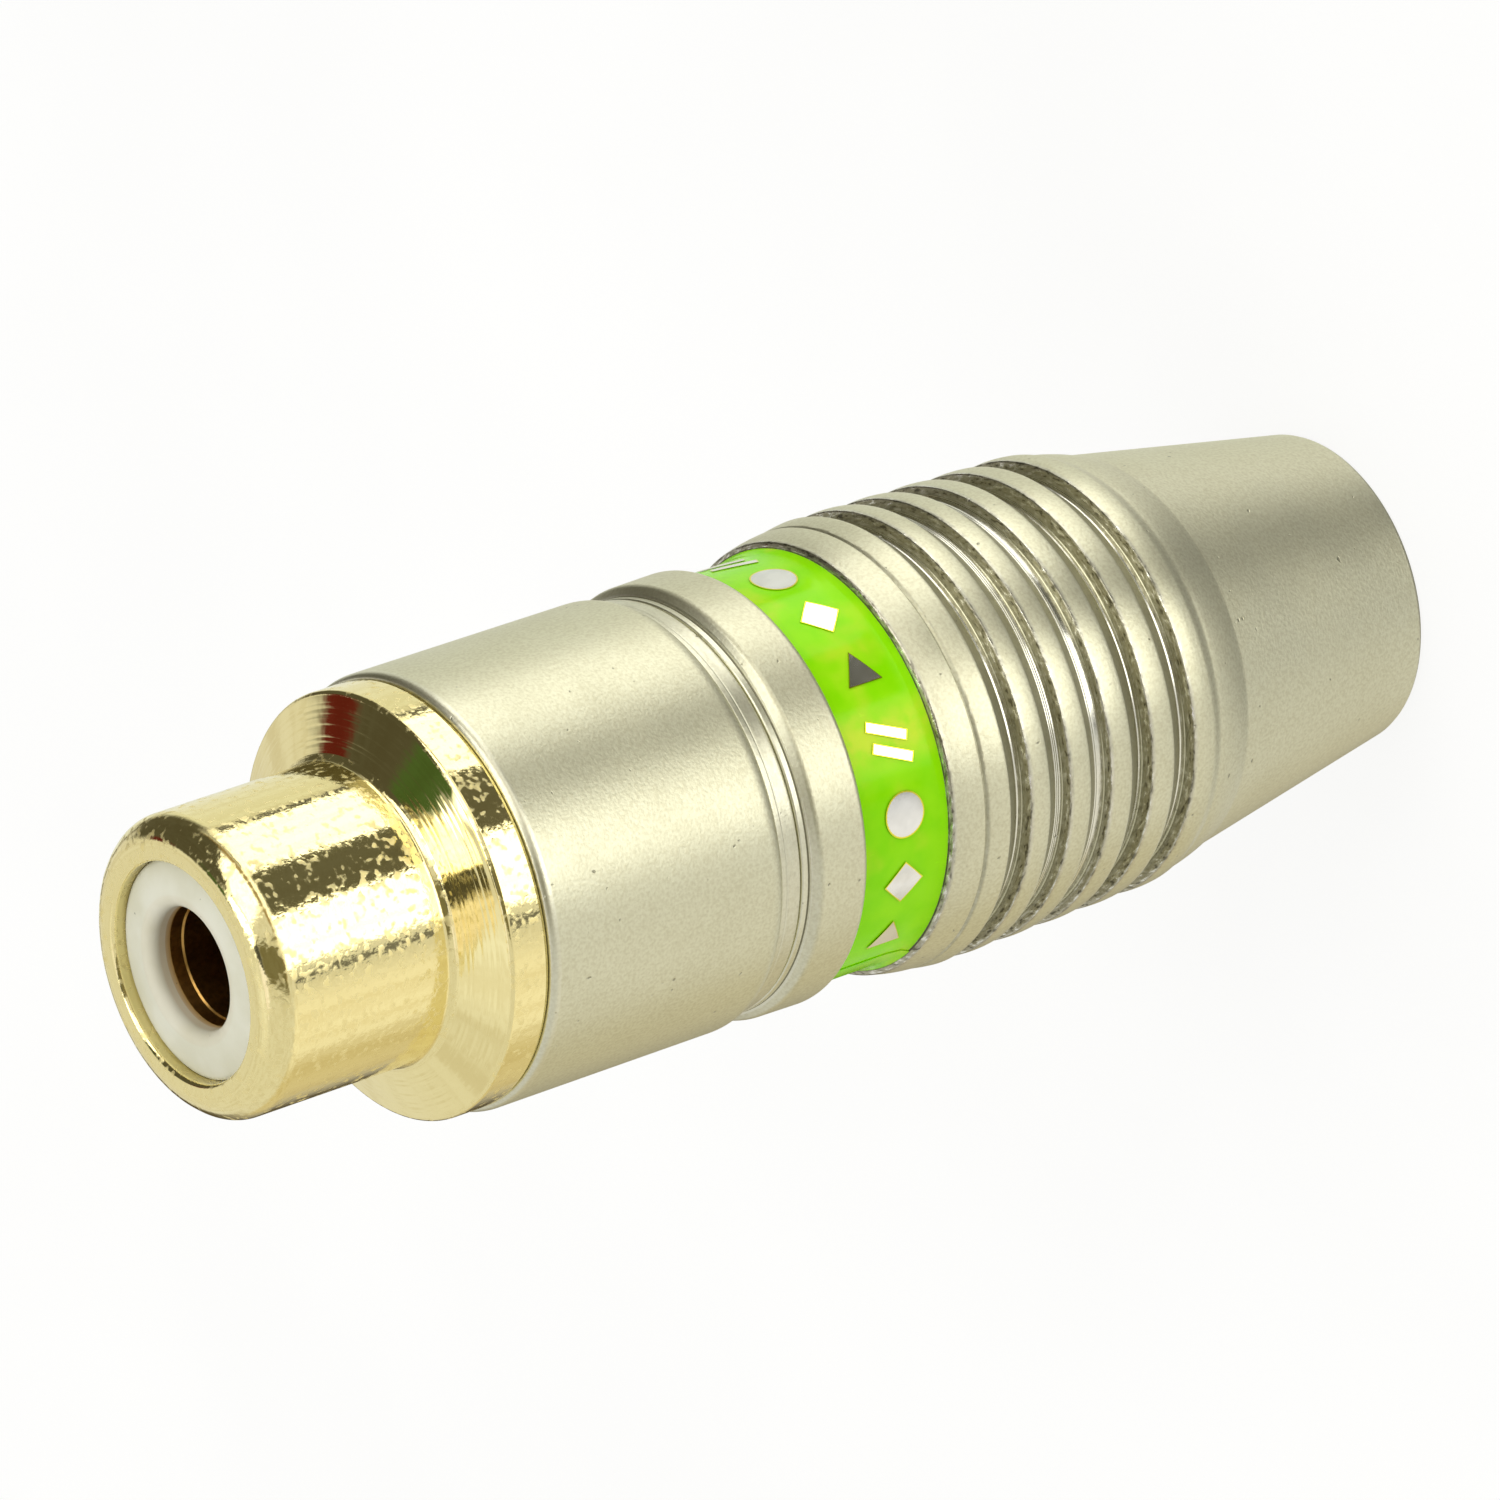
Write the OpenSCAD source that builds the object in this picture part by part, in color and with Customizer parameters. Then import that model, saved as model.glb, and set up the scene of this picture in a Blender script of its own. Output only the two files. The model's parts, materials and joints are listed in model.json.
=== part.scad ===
// In-line phono cable socket with a screw-on rear shell, in millimetres.
// It stands on its tail: Z is the axis, z = 0 is the tail face, and the mouth is on top.
// Every turned piece is one outline, revolved about Z.

/* [Barrel and flange] */
// Outer diameter of the barrel that the plug's collar grips
barrel_d = 8.3; // [7.4:0.05:10]
// Length of the plain barrel, from the flange to the outer edge of its lip
barrel_len = 5.15; // [4:0.05:9]
// Bore of the barrel, which holds the insulator
bore_d = 6.0; // [5:0.05:6.6]
// Height of the lip in front of the plain barrel
lip_h = 0.56; // [0.3:0.02:0.8]
// Width of the lip's outer chamfer across the axis
lip_chamfer_w = 0.45; // [0.2:0.05:0.6]
// Thickness of the flange at its rim
flange_t = 1.2; // [0.8:0.05:2.5]
// Rise of the flange's coned front face, from rim to barrel
flange_cone_h = 0.66; // [0.2:0.02:1.2]
// Radius of the fillet between barrel and flange
root_fillet_r = 0.25; // [0.1:0.05:0.4]
// Radius of the flange's front edge
rim_round_r = 0.15; // [0.05:0.05:0.4]

/* [Front sleeve] */
// Diameter of the plain nickel sleeve, from which the flange, collar and shell step off
sleeve_d = 12.0; // [11.8:0.05:14.4]
// Length of the front sleeve with its collar
sleeve_len = 8.37; // [6.5:0.01:12]
// Step from the sleeve in to the flange's rim
flange_step = 0.14; // [0.1:0.02:0.4]
// Length of the rounding at the sleeve's front end
front_round_len = 0.26; // [0.1:0.02:0.5]
// Step from the sleeve in to the collar at its rear end
collar_step = 0.23; // [0.16:0.01:0.4]
// Length of the collar, which is the visible gap in front of the rear shell
collar_len = 0.72; // [0.4:0.02:1.5]
// Length of the rounding at the sleeve's rear end
rear_round_len = 0.38; // [0.1:0.02:0.6]
// Depth of the rounding at the sleeve's rear end
rear_round_h = 0.14; // [0.04:0.01:0.15]
// Diameter of the socket's land that the sleeve is pressed on
land_d = 10.4; // [10.1:0.05:10.6]

/* [Rear shell] */
// Length of the rear shell, from the tail face to its front face
shell_len = 22.85; // [19:0.05:30]
// Step from the sleeve out to the shell's nose
nose_step = 0.03; // [0:0.01:0.2]
// Length of the narrow ring in front of the nose chamfer
nose_ring_len = 0.27; // [0.1:0.01:0.5]
// Length of the nose chamfer along the axis
nose_chamfer_len = 0.2; // [0.1:0.02:0.5]
// Distance from the shell's front face to the recess for the colour band
band_offset = 2.01; // [1.4:0.01:3]
// Width of the recess for the colour band
band_w = 2.8; // [1.5:0.05:4]
// Depth of the recess below the nose
band_depth = 0.36; // [0.2:0.02:0.5]
// Thickness of the colour band
band_t = 0.08; // [0.04:0.01:0.14]
// Lean of the recess's rear wall along the axis
band_ramp_len = 0.12; // [0.04:0.02:0.3]
// Step from the nose out to the ridge in front of the first groove
rib_step = 0.25; // [0.1:0.01:0.5]
// Loss of radius from one ring to the next towards the tail
rib_drop = 0.03; // [0:0.01:0.06]
// Height of the crown on the ridge between the colour band and the first groove
ridge_crown_h = 0.05; // [0.01:0.01:0.1]
// Distance from the front face to the first grip groove
groove_offset = 6.64; // [6:0.02:8]
// Number of grip grooves
groove_count = 5; // [3:1:5]
// Width of a grip groove
groove_w = 0.77; // [0.6:0.01:0.9]
// Depth of a grip groove
groove_depth = 0.36; // [0.1:0.02:0.5]
// Length of a groove's soft front flank
flank_len = 0.48; // [0.2:0.02:0.5]
// Length of a groove's steep rear wall
wall_len = 0.08; // [0.02:0.01:0.1]
// Spacing of the first two grooves
groove_pitch = 1.39; // [1.2:0.01:1.7]
// Growth of the spacing from each groove to the next
groove_pitch_growth = 0.035; // [0:0.005:0.1]
// Height of the crown on each ring between two grooves
ring_crown_h = 0.04; // [0.01:0.01:0.1]
// Width of the last ring, behind the last groove
last_ring_w = 0.6; // [0.3:0.02:1]
// Length of the soft step behind the last ring
soft_step_len = 0.27; // [0.1:0.01:0.5]
// Depth of the soft step behind the last ring
soft_step_h = 0.13; // [0.04:0.01:0.2]
// Length of the rounded shoulder between the soft step and the tail cone
shoulder_len = 1.38; // [0.8:0.02:3]
// Loss of radius over the rounded shoulder
shoulder_drop = 0.31; // [0.15:0.01:0.5]
// Height of the shoulder's crown
shoulder_crown_h = 0.025; // [0.01:0.005:0.08]
// Diameter at the tail
tail_d = 8.8; // [8.4:0.05:10.6]
// Radius of the tail's outer edge
tail_edge_r = 0.22; // [0.1:0.02:0.4]
// Diameter of the cable entry through the tail
cable_bore_d = 6.2; // [5.6:0.05:7.4]
// Point angle of the drill that sinks the cavity
drill_point_angle = 118; // [90:1:140]

/* [Thread] */
// Outer diameter of the socket's thread
thread_d = 9.9; // [9.6:0.02:10]
// Length of the thread behind the collar
thread_len = 4.75; // [3:0.05:6]
// Length of the undercut at the end of the shell's thread
thread_relief = 0.4; // [0.2:0.05:0.8]
// Diameter of the plain spigot behind the thread, which carries the insulating sleeve
spigot_d = 8.6; // [8.3:0.05:9]
// Length of the plain spigot
spigot_len = 1.5; // [1:0.1:2.5]

/* [Insulator and contact] */
// Height of the insulator's face at its rim above the outer edge of the lip's chamfer
face_rise = 0.16; // [-0.5:0.02:0.3]
// How much higher the insulator's face stands at the pin's hole than at its rim
face_swell = 0.17; // [0.05:0.01:0.25]
// Depth of the step in the bore that the insulator's shoulder seats on
step_depth = 10; // [7:0.1:12]
// Width of the insulator's shoulder across the axis
shoulder_w = 0.5; // [0.3:0.05:0.7]
// Length of the insulator's shoulder
insulator_shoulder_len = 3; // [1.5:0.1:4]
// Radial clearance of the plug's pin in the insulator's face
pin_hole_clear = 0.1; // [0.06:0.02:0.2]
// How much wider the pin's hole is at its front than at the contact
hole_draft = 0.03; // [0.01:0.01:0.08]
// Radius of the rounded edge of the pin's hole
hole_edge_r = 0.2; // [0.05:0.05:0.25]
// Thickness of the insulator's face in front of the contact, at its rim
face_t = 0.5; // [0.3:0.05:1]
// Bore of the centre contact, for the plug's pin
contact_bore_d = 3.2; // [2.6:0.02:3.9]
// Wall of the centre contact
contact_wall = 0.4; // [0.3:0.02:0.5]
// Depth of the contact's bore from its front end
contact_bore_depth = 10.4; // [7:0.1:12]
// How much the contact's mouth tapers in from its front end
mouth_taper = 0.05; // [0.03:0.01:0.08]
// Step from the rear end of the contact's mouth in to its bore
mouth_step = 0.04; // [0.02:0.01:0.06]
// Length of the contact's mouth
mouth_len = 0.34; // [0.1:0.02:0.6]
// Number of slots that part the contact's spring leaves
slot_count = 2; // [2:1:4]
// Width of each contact slot
slot_w = 0.36; // [0.2:0.02:0.5]
// Length of each contact slot
slot_len = 6; // [3:0.1:8]
// Diameter of the contact's shank behind its tube
shank_d = 2.2; // [1.8:0.05:2.5]
// Bore of the solder cup
cup_bore_d = 1.9; // [1.2:0.05:2.2]
// Wall of the solder cup
cup_wall = 0.35; // [0.2:0.05:0.5]
// Length of the solder cup
cup_len = 3.8; // [3.2:0.1:5]
// Depth of the solder cup's bore
cup_bore_depth = 2.6; // [1.5:0.1:2.8]
// Length of the cup that is cut open on its upper side
cup_open_len = 2.1; // [1:0.1:2.6]
// Height of the cup's cut edges above its axis
cup_cut_y = 0.28; // [0:0.02:0.5]
// How far the solder cup stands out of the stem
cup_reach = 1.6; // [0.5:0.1:2.5]
// Thickness of the insulating washer behind the insulator
washer_t = 1.0; // [0.5:0.1:2]

/* [Ground lug and liner] */
// Thickness of the ground lug's sheet
lug_t = 0.4; // [0.3:0.02:0.5]
// Thickness of the lug's seat ring
lug_ring_t = 0.6; // [0.4:0.05:0.8]
// Hole in the lug's seat ring
lug_ring_bore_d = 4.4; // [3.6:0.1:4.8]
// Width of the strip between the ring and the cable clamp
strip_w = 2.0; // [1.4:0.1:2.4]
// Gap between the corners of the lug's flat strip and the bore of the stem
strip_gap = 0.03; // [0.02:0.01:0.2]
// Step from the back of the strip in to the outside of the rolled clamp
clamp_step = 0.02; // [0.01:0.01:0.05]
// Length of the cable clamp along the cable
clamp_len = 4.5; // [3:0.1:5]
// Distance between the cable clamp and the floor of the shell's cavity
clamp_lift = 1.2; // [0.6:0.1:1.5]
// Angle that the clamp's wings wrap around the cable
clamp_wrap = 230; // [200:5:260]
// Length of the corners cut off the clamp's wings
wing_corner = 1.0; // [0.4:0.1:1.4]
// Hole in the strip for the cable's screen wire
wire_hole_d = 0.9; // [0.6:0.1:1.2]
// Wall of the insulating sleeve inside the rear shell
liner_t = 0.27; // [0.2:0.01:0.35]

/* [Clearances] */
// Radial gap between pieces that are pressed together
press_gap = 0.01; // [0.005:0.005:0.02]
// Radial gap of the thread and of the liner on its spigot
run_gap = 0.05; // [0.03:0.01:0.1]
// Gap left at the parting line between collar and shell
seam_gap = 0.04; // [0.02:0.01:0.1]
// Gap at each edge of the colour band
band_gap = 0.04; // [0.02:0.01:0.1]
// Gap around loose pieces inside the shell
loose_gap = 0.12; // [0.05:0.01:0.2]

/* [Hidden] */
$fn = 96;
arc_steps = 6;
edge_break = 0.15;
fine_break = 0.05;
over = 1;

gold = "#d9c67c";
nickel = "#c6c1aa";
ivory = "#d8dacb";
lime = "#8cd60a";
brass = "#cdb469";
milky = "#e4e2d8";

// Radii of the outside, stepped off from the sleeve
sleeve_r = sleeve_d / 2;
flange_r = sleeve_r - flange_step;
collar_r = sleeve_r - collar_step;
nose_r = sleeve_r + nose_step;
band_floor_r = nose_r - band_depth;
rib_r = nose_r + rib_step;
function ring_r(i) = rib_r - i * rib_drop;
last_ring_r = ring_r(groove_count);
cone_r = last_ring_r - soft_step_h - shoulder_drop;

// Radii inside the socket
barrel_r = barrel_d / 2;
bore_r = bore_d / 2;
stem_bore_r = bore_r + shoulder_w;
thread_r = thread_d / 2;
contact_bore_r = contact_bore_d / 2;
contact_r = contact_bore_r + contact_wall;
lug_seat_r = stem_bore_r - press_gap;
strip_back = sqrt(pow(stem_bore_r - strip_gap, 2) - pow(strip_w / 2, 2));
clamp_outer_r = strip_back - clamp_step;
clamp_r = clamp_outer_r - lug_t;

// Radii inside the rear shell
thread_bore_r = thread_r + run_gap;
liner_bore_r = spigot_d / 2 + run_gap;
liner_r = liner_bore_r + liner_t;
cavity_r = liner_r + loose_gap;
cable_bore_r = cable_bore_d / 2;

// Heights of the seams between the pieces, from the tail up
collar_z = shell_len + seam_gap;
shelf_z = collar_z + collar_len;
flange_z = collar_z + sleeve_len;
rim_z = flange_z + flange_t;
barrel_z = rim_z + flange_cone_h;
lip_z = barrel_z + barrel_len;
mouth_z = lip_z + lip_h;

// Heights inside the socket, from the lip down and from the collar down
face_z = lip_z + face_rise;
contact_z = face_z - face_t;
step_z = lip_z - step_depth;
insulator_end_z = step_z - insulator_shoulder_len;
washer_end_z = insulator_end_z - washer_t;
lug_ring_end_z = washer_end_z - lug_ring_t;
thread_end_z = collar_z - thread_len;
stem_end_z = thread_end_z - spigot_len;
cup_end_z = stem_end_z - cup_reach;

// Heights along the outside of the rear shell
band_top_z = shell_len - band_offset;
band_end_z = band_top_z - band_w;
ridge_z = band_end_z - band_ramp_len;
function groove_z(i) = shell_len - groove_offset - i * groove_pitch
                       - groove_pitch_growth * i * (i - 1) / 2;
last_groove_end_z = groove_z(groove_count - 1) - groove_w;
last_ring_end_z = last_groove_end_z - last_ring_w;
shoulder_z = last_ring_end_z - soft_step_len;
cone_z = shoulder_z - shoulder_len;

// Heights inside the rear shell
cavity_z = cone_z + (cavity_r - cable_bore_r) / tan(drill_point_angle / 2);
cavity_top_z = thread_end_z - thread_relief;
liner_end_z = cavity_z + loose_gap;
liner_top_z = thread_end_z - run_gap;
clamp_end_z = cavity_z + clamp_lift;
clamp_top_z = clamp_end_z + clamp_len;

// Points of an arc about [x, y], from angle a to angle b
function arc(x, y, r, a, b) = oval_arc(x, y, r, r, a, b);

// Points of an oval arc about [x, y] with half axes rx and ry
function oval_arc(x, y, rx, ry, a, b) =
    [for (i = [0 : arc_steps]) let (t = a + (b - a) * i / arc_steps) [x + rx * cos(t), y + ry * sin(t)]];

// Points of a shallow crown between two places on the outline, h high at its middle
function crown(r1, z1, r2, z2, h) =
    [for (i = [0 : arc_steps]) let (t = i / arc_steps)
        [r1 + (r2 - r1) * t + 4 * h * t * (1 - t), z1 + (z2 - z1) * t]];

// Points of a soft step between two places on the outline, level at both ends
function soft_step(r1, z1, r2, z2) =
    [for (i = [0 : arc_steps]) let (t = i / arc_steps)
        [r1 + (r2 - r1) * (1 - cos(180 * t)) / 2, z1 + (z2 - z1) * t]];

// Distance from a corner to where a rounding of radius r leaves it, for a turn of angle a
function corner_len(r, a) = r * tan(a / 2);

// Solid of revolution about Z from points [radius, height]
module turned(points) {
    rotate_extrude() polygon(points);
}

// Ring of revolution between two radii and two heights
module tube(inner_r, outer_r, low_z, high_z) {
    turned([[inner_r, low_z], [outer_r, low_z], [outer_r, high_z], [inner_r, high_z]]);
}

// Outline of one grip groove, from its soft front flank to its steep rear wall
function groove(i) =
    let (top = groove_z(i), end = top - groove_w, floor_r = ring_r(i) - groove_depth)
    concat(soft_step(ring_r(i), top, floor_r, top - flank_len),
           [[floor_r, end + wall_len]]);

// Outline of the crowned ring behind groove i, up to the next groove or the soft step
function ring(i) =
    let (start = groove_z(i) - groove_w, last = i == groove_count - 1)
    crown(ring_r(i + 1), start, ring_r(i + 1), last ? last_ring_end_z : groove_z(i + 1), ring_crown_h);

// Bright ring, chamfer and nose in front of the colour band
function nose_outline() =
    concat([[collar_r - fine_break, shell_len],
            [collar_r, shell_len - fine_break],
            [collar_r, shell_len - nose_ring_len],
            [nose_r, shell_len - nose_ring_len - nose_chamfer_len]],
           oval_arc(nose_r - edge_break, band_top_z + edge_break, edge_break, edge_break, 0, -60));

// Recess for the colour band and the ridge behind it
function band_outline() =
    concat([[band_floor_r, band_top_z],
            [band_floor_r, band_end_z]],
           crown(nose_r, ridge_z, rib_r, groove_z(0), ridge_crown_h));

// Soft step, rounded shoulder and tail cone
function tail_outline() =
    let (tail_r = tail_d / 2, slope = atan((cone_r - tail_r) / cone_z))
    concat(soft_step(last_ring_r, last_ring_end_z, last_ring_r - soft_step_h, shoulder_z),
           crown(last_ring_r - soft_step_h, shoulder_z, cone_r, cone_z, shoulder_crown_h),
           arc(tail_r - tail_edge_r, tail_edge_r, tail_edge_r, slope, -90));

// Cable entry, cavity and thread bore, from the tail to the front face
function shell_bore() =
    [[cable_bore_r + 2 * edge_break, 0],
     [cable_bore_r, 2 * edge_break],
     [cable_bore_r, cone_z],
     [cavity_r, cavity_z],
     [cavity_r, cavity_top_z],
     [thread_bore_r, cavity_top_z],
     [thread_bore_r, shell_len - edge_break],
     [thread_bore_r + edge_break, shell_len]];

module rear_shell() {
    grip = [for (i = [0 : groove_count - 1]) each concat(groove(i), ring(i))];
    color(nickel) turned(concat(nose_outline(), band_outline(), grip, tail_outline(), shell_bore()));
}

module colour_band() {
    color(lime) tube(band_floor_r + press_gap, band_floor_r + press_gap + band_t,
                     band_end_z + band_gap, band_top_z - band_gap);
}

module insulating_sleeve() {
    color(milky) tube(liner_bore_r, liner_r, liner_end_z, liner_top_z);
}

// Lip, barrel and coned flange, from the bore's edge to the flange's rear face
function head_outline() =
    let (lip_fall = fine_break, cone_turn = atan((flange_r - barrel_r) / flange_cone_h))
    concat([[bore_r, mouth_z - lip_fall - fine_break],
            [bore_r + fine_break, mouth_z - lip_fall],
            [barrel_r - lip_chamfer_w, mouth_z],
            [barrel_r, lip_z]],
           arc(barrel_r + root_fillet_r, barrel_z + corner_len(root_fillet_r, cone_turn),
               root_fillet_r, 180, 180 + cone_turn),
           arc(flange_r - rim_round_r, rim_z - corner_len(rim_round_r, cone_turn),
               rim_round_r, cone_turn, 0),
           [[flange_r, flange_z + press_gap]]);

// Land, thread and spigot, from the flange down to the end of the stem
function stem_outline() =
    [[land_d / 2, flange_z + press_gap],
     [land_d / 2, shelf_z + press_gap],
     [thread_r, shelf_z + press_gap],
     [thread_r, thread_end_z + edge_break],
     [thread_r - edge_break, thread_end_z],
     [spigot_d / 2, thread_end_z],
     [spigot_d / 2, stem_end_z + edge_break],
     [spigot_d / 2 - edge_break, stem_end_z],
     [stem_bore_r, stem_end_z],
     [stem_bore_r, step_z],
     [bore_r, step_z]];

module socket_body() {
    color(gold) turned(concat(head_outline(), stem_outline()));
}

module front_sleeve() {
    inner_r = land_d / 2 + press_gap;
    throat_r = thread_r + press_gap;
    color(nickel) turned(concat(
        [[inner_r, flange_z]],
        oval_arc(flange_r, flange_z - front_round_len, flange_step, front_round_len, 90, 0),
        oval_arc(sleeve_r - rear_round_h, shelf_z + rear_round_len, rear_round_h, rear_round_len, 0, -90),
        [[collar_r, shelf_z],
         [collar_r, collar_z + fine_break],
         [collar_r - fine_break, collar_z],
         [throat_r, collar_z],
         [throat_r, shelf_z],
         [inner_r, shelf_z]]));
}

module insulator() {
    body_r = bore_r - press_gap;
    shoulder_r = stem_bore_r - press_gap;
    hole_r = contact_bore_r + pin_hole_clear;
    seat_r = contact_r + press_gap;
    hole_front_r = hole_r + hole_draft;
    crest_z = face_z + face_swell;
    color(ivory) turned(concat(
        oval_arc(hole_front_r + hole_edge_r, crest_z - hole_edge_r, hole_edge_r, hole_edge_r, 180, 90),
        [[body_r - fine_break, face_z],
         [body_r, face_z - fine_break],
         [body_r, step_z - press_gap],
         [shoulder_r, step_z - press_gap],
         [shoulder_r, insulator_end_z],
         [seat_r, insulator_end_z],
         [seat_r, contact_z + press_gap],
         [hole_r, contact_z + press_gap]]));
}

// Slot through one side of the contact's tube, round at its inner end
module contact_slot() {
    slot_end_z = contact_z - slot_len;
    translate([0, -slot_w / 2, slot_end_z]) cube([contact_r + over, slot_w, slot_len + over]);
    translate([0, 0, slot_end_z]) rotate([0, 90, 0]) cylinder(d = slot_w, h = contact_r + over);
}

module centre_contact() {
    shank_r = shank_d / 2;
    cup_bore_r = cup_bore_d / 2;
    cup_r = cup_bore_r + cup_wall;
    cup_top_z = cup_end_z + cup_len;
    cup_floor_z = cup_end_z + cup_bore_depth;
    bore_end_z = contact_z - contact_bore_depth;
    drill_tip = 1 / tan(drill_point_angle / 2);
    mouth_r = contact_bore_r + mouth_step;
    color(gold) difference() {
        turned([[mouth_r + mouth_taper, contact_z],
                [contact_r, contact_z],
                [contact_r, insulator_end_z],
                [shank_r, insulator_end_z],
                [shank_r, cup_top_z],
                [cup_r, cup_top_z - edge_break],
                [cup_r, cup_end_z],
                [cup_bore_r, cup_end_z],
                [cup_bore_r, cup_floor_z],
                [0, cup_floor_z + cup_bore_r * drill_tip],
                [0, bore_end_z - contact_bore_r * drill_tip],
                [contact_bore_r, bore_end_z],
                [contact_bore_r, contact_z - mouth_len - fine_break],
                [mouth_r, contact_z - mouth_len]]);
        for (i = [0 : slot_count - 1])
            rotate(360 / slot_count * i) contact_slot();
        translate([-cup_r - over, cup_cut_y, cup_end_z - over])
            cube([2 * (cup_r + over), cup_r, cup_open_len + over]);
    }
}

module contact_washer() {
    color(milky) tube(shank_d / 2 + press_gap, stem_bore_r - press_gap,
                      washer_end_z + press_gap, insulator_end_z - press_gap);
}

// Side view in [y, z] of the cable clamp, whose wings have cut corners at their tips
module clamp_side_view() {
    back = 2 * clamp_outer_r;
    tip_y = clamp_outer_r * cos((360 - clamp_wrap) / 2);
    polygon([[-back, clamp_end_z],
             [tip_y - wing_corner, clamp_end_z],
             [tip_y, clamp_end_z + wing_corner],
             [tip_y, clamp_top_z - wing_corner],
             [tip_y - wing_corner, clamp_top_z],
             [-back, clamp_top_z]]);
}

// Clamp rolled from the sheet, open on its upper side
module cable_clamp() {
    intersection() {
        tube(clamp_r, clamp_outer_r, clamp_end_z - over, clamp_top_z + over);
        translate([-2 * clamp_outer_r, 0, 0]) rotate([90, 0, 90])
            linear_extrude(4 * clamp_outer_r) clamp_side_view();
    }
}

// Flat strip from inside the clamp's front edge up to the seat ring
module lug_strip(top_z) {
    low_z = clamp_top_z - lug_t;
    translate([-strip_w / 2, -strip_back, low_z]) cube([strip_w, lug_t, top_z - low_z]);
}

module ground_lug() {
    color(brass) difference() {
        union() {
            tube(lug_ring_bore_d / 2, lug_seat_r, lug_ring_end_z, washer_end_z - press_gap);
            lug_strip(washer_end_z - lug_ring_t / 2);
            cable_clamp();
        }
        translate([0, 0, (stem_end_z + clamp_top_z) / 2]) rotate([90, 0, 0])
            cylinder(d = wire_hole_d, h = 2 * strip_back);
    }
}

rear_shell();
colour_band();
insulating_sleeve();
socket_body();
front_sleeve();
insulator();
centre_contact();
contact_washer();
ground_lug();
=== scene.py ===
"""In-line phono cable socket, standing on its tail.

A gold-plated barrel and flange, a satin nickel sleeve, and a ribbed rear shell with a lime foil label.
Lengths are millimetres and become metres where a mesh or a pattern is made. Z is the socket's axis,
z = 0 is the tail face, and -Y is the side that the camera sees.
"""

import json
import logging
import math
import random
from collections.abc import Callable
from dataclasses import dataclass, field
from enum import Enum
from functools import partial

import bmesh
import bpy
from mathutils import Matrix, Vector

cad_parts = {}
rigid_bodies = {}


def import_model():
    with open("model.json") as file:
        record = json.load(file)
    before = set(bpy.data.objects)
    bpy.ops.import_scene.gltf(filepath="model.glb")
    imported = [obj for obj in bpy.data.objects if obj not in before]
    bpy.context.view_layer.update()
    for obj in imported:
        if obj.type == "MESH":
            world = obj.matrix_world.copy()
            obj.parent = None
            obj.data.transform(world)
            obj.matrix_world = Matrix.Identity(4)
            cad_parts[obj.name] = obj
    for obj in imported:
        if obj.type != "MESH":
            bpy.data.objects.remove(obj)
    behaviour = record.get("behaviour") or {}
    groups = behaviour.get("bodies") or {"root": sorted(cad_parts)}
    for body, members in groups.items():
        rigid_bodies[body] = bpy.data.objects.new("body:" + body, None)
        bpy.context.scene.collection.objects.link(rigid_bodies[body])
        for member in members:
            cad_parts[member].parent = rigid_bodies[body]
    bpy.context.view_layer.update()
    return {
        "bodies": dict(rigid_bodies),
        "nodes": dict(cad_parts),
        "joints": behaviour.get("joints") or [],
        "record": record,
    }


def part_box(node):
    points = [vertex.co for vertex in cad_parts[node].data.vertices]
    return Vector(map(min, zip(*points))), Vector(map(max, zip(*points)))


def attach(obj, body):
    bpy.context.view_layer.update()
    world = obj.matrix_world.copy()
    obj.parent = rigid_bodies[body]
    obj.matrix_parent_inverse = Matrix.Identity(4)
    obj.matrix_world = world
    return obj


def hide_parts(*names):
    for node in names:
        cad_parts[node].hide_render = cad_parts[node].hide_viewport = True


MM = 0.001
# points nearer than this, in metres, become one: on a turned piece and on the thin foil marks
WELD, FINE_WELD = 1e-7, 1e-8
MARKS = ("burr", "polish", "thread")
BAR_SLANT_DEG = -24
# what a new node can read from, and what adds nodes to one tree
Source = bpy.types.Node | bpy.types.NodeSocket
Adder = Callable[..., bpy.types.Node]
log = logging.getLogger("phono_socket")


class Body(Enum):
    """The bodies that move against each other."""

    REAR = "rear_housing"
    LINER = "liner"
    FRONT = "front_socket"


class Mark(Enum):
    """The shapes printed round the label, by the number of corners of each."""

    TRIANGLE = 3
    DIAMOND = 4
    DOT = 40


# Steps of node trees that come up often: the node's type, and the setting that makes it that step
Op = Enum("Op", {
    "NOISE": ("ShaderNodeTexNoise", "noise_dimensions", "3D"),
    "REMAP": ("ShaderNodeMapRange", "interpolation_type", "SMOOTHSTEP"),
    "MIX": ("ShaderNodeMix", "data_type", "RGBA"),
    "KEEP": ("GeometryNodeStoreNamedAttribute", "data_type", "FLOAT"),
    **{step: ("ShaderNodeMath", "operation", step) for step in (
        "ABSOLUTE", "ADD", "ARCSINE", "ARCTAN2", "COMPARE", "COSINE", "DEGREES", "DIVIDE", "LESS_THAN", "MAXIMUM",
        "MODULO", "MULTIPLY", "MULTIPLY_ADD", "PINGPONG", "ROUND", "SINE", "SQRT", "SUBTRACT", "WRAP",
    )},
})


def linear(hex_colour: str) -> tuple[float, float, float, float]:
    """Turns an sRGB hex colour into linear RGBA.

    Args:
        hex_colour: The colour as #RRGGBB.

    Returns:
        The four linear channels, with an alpha of 1.
    """
    channels = [int(hex_colour[i:i + 2], 16) / 255 for i in (1, 3, 5)]
    return (*[c / 12.92 if c <= 0.04045 else ((c + 0.055) / 1.055) ** 2.4 for c in channels], 1.0)


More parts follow.
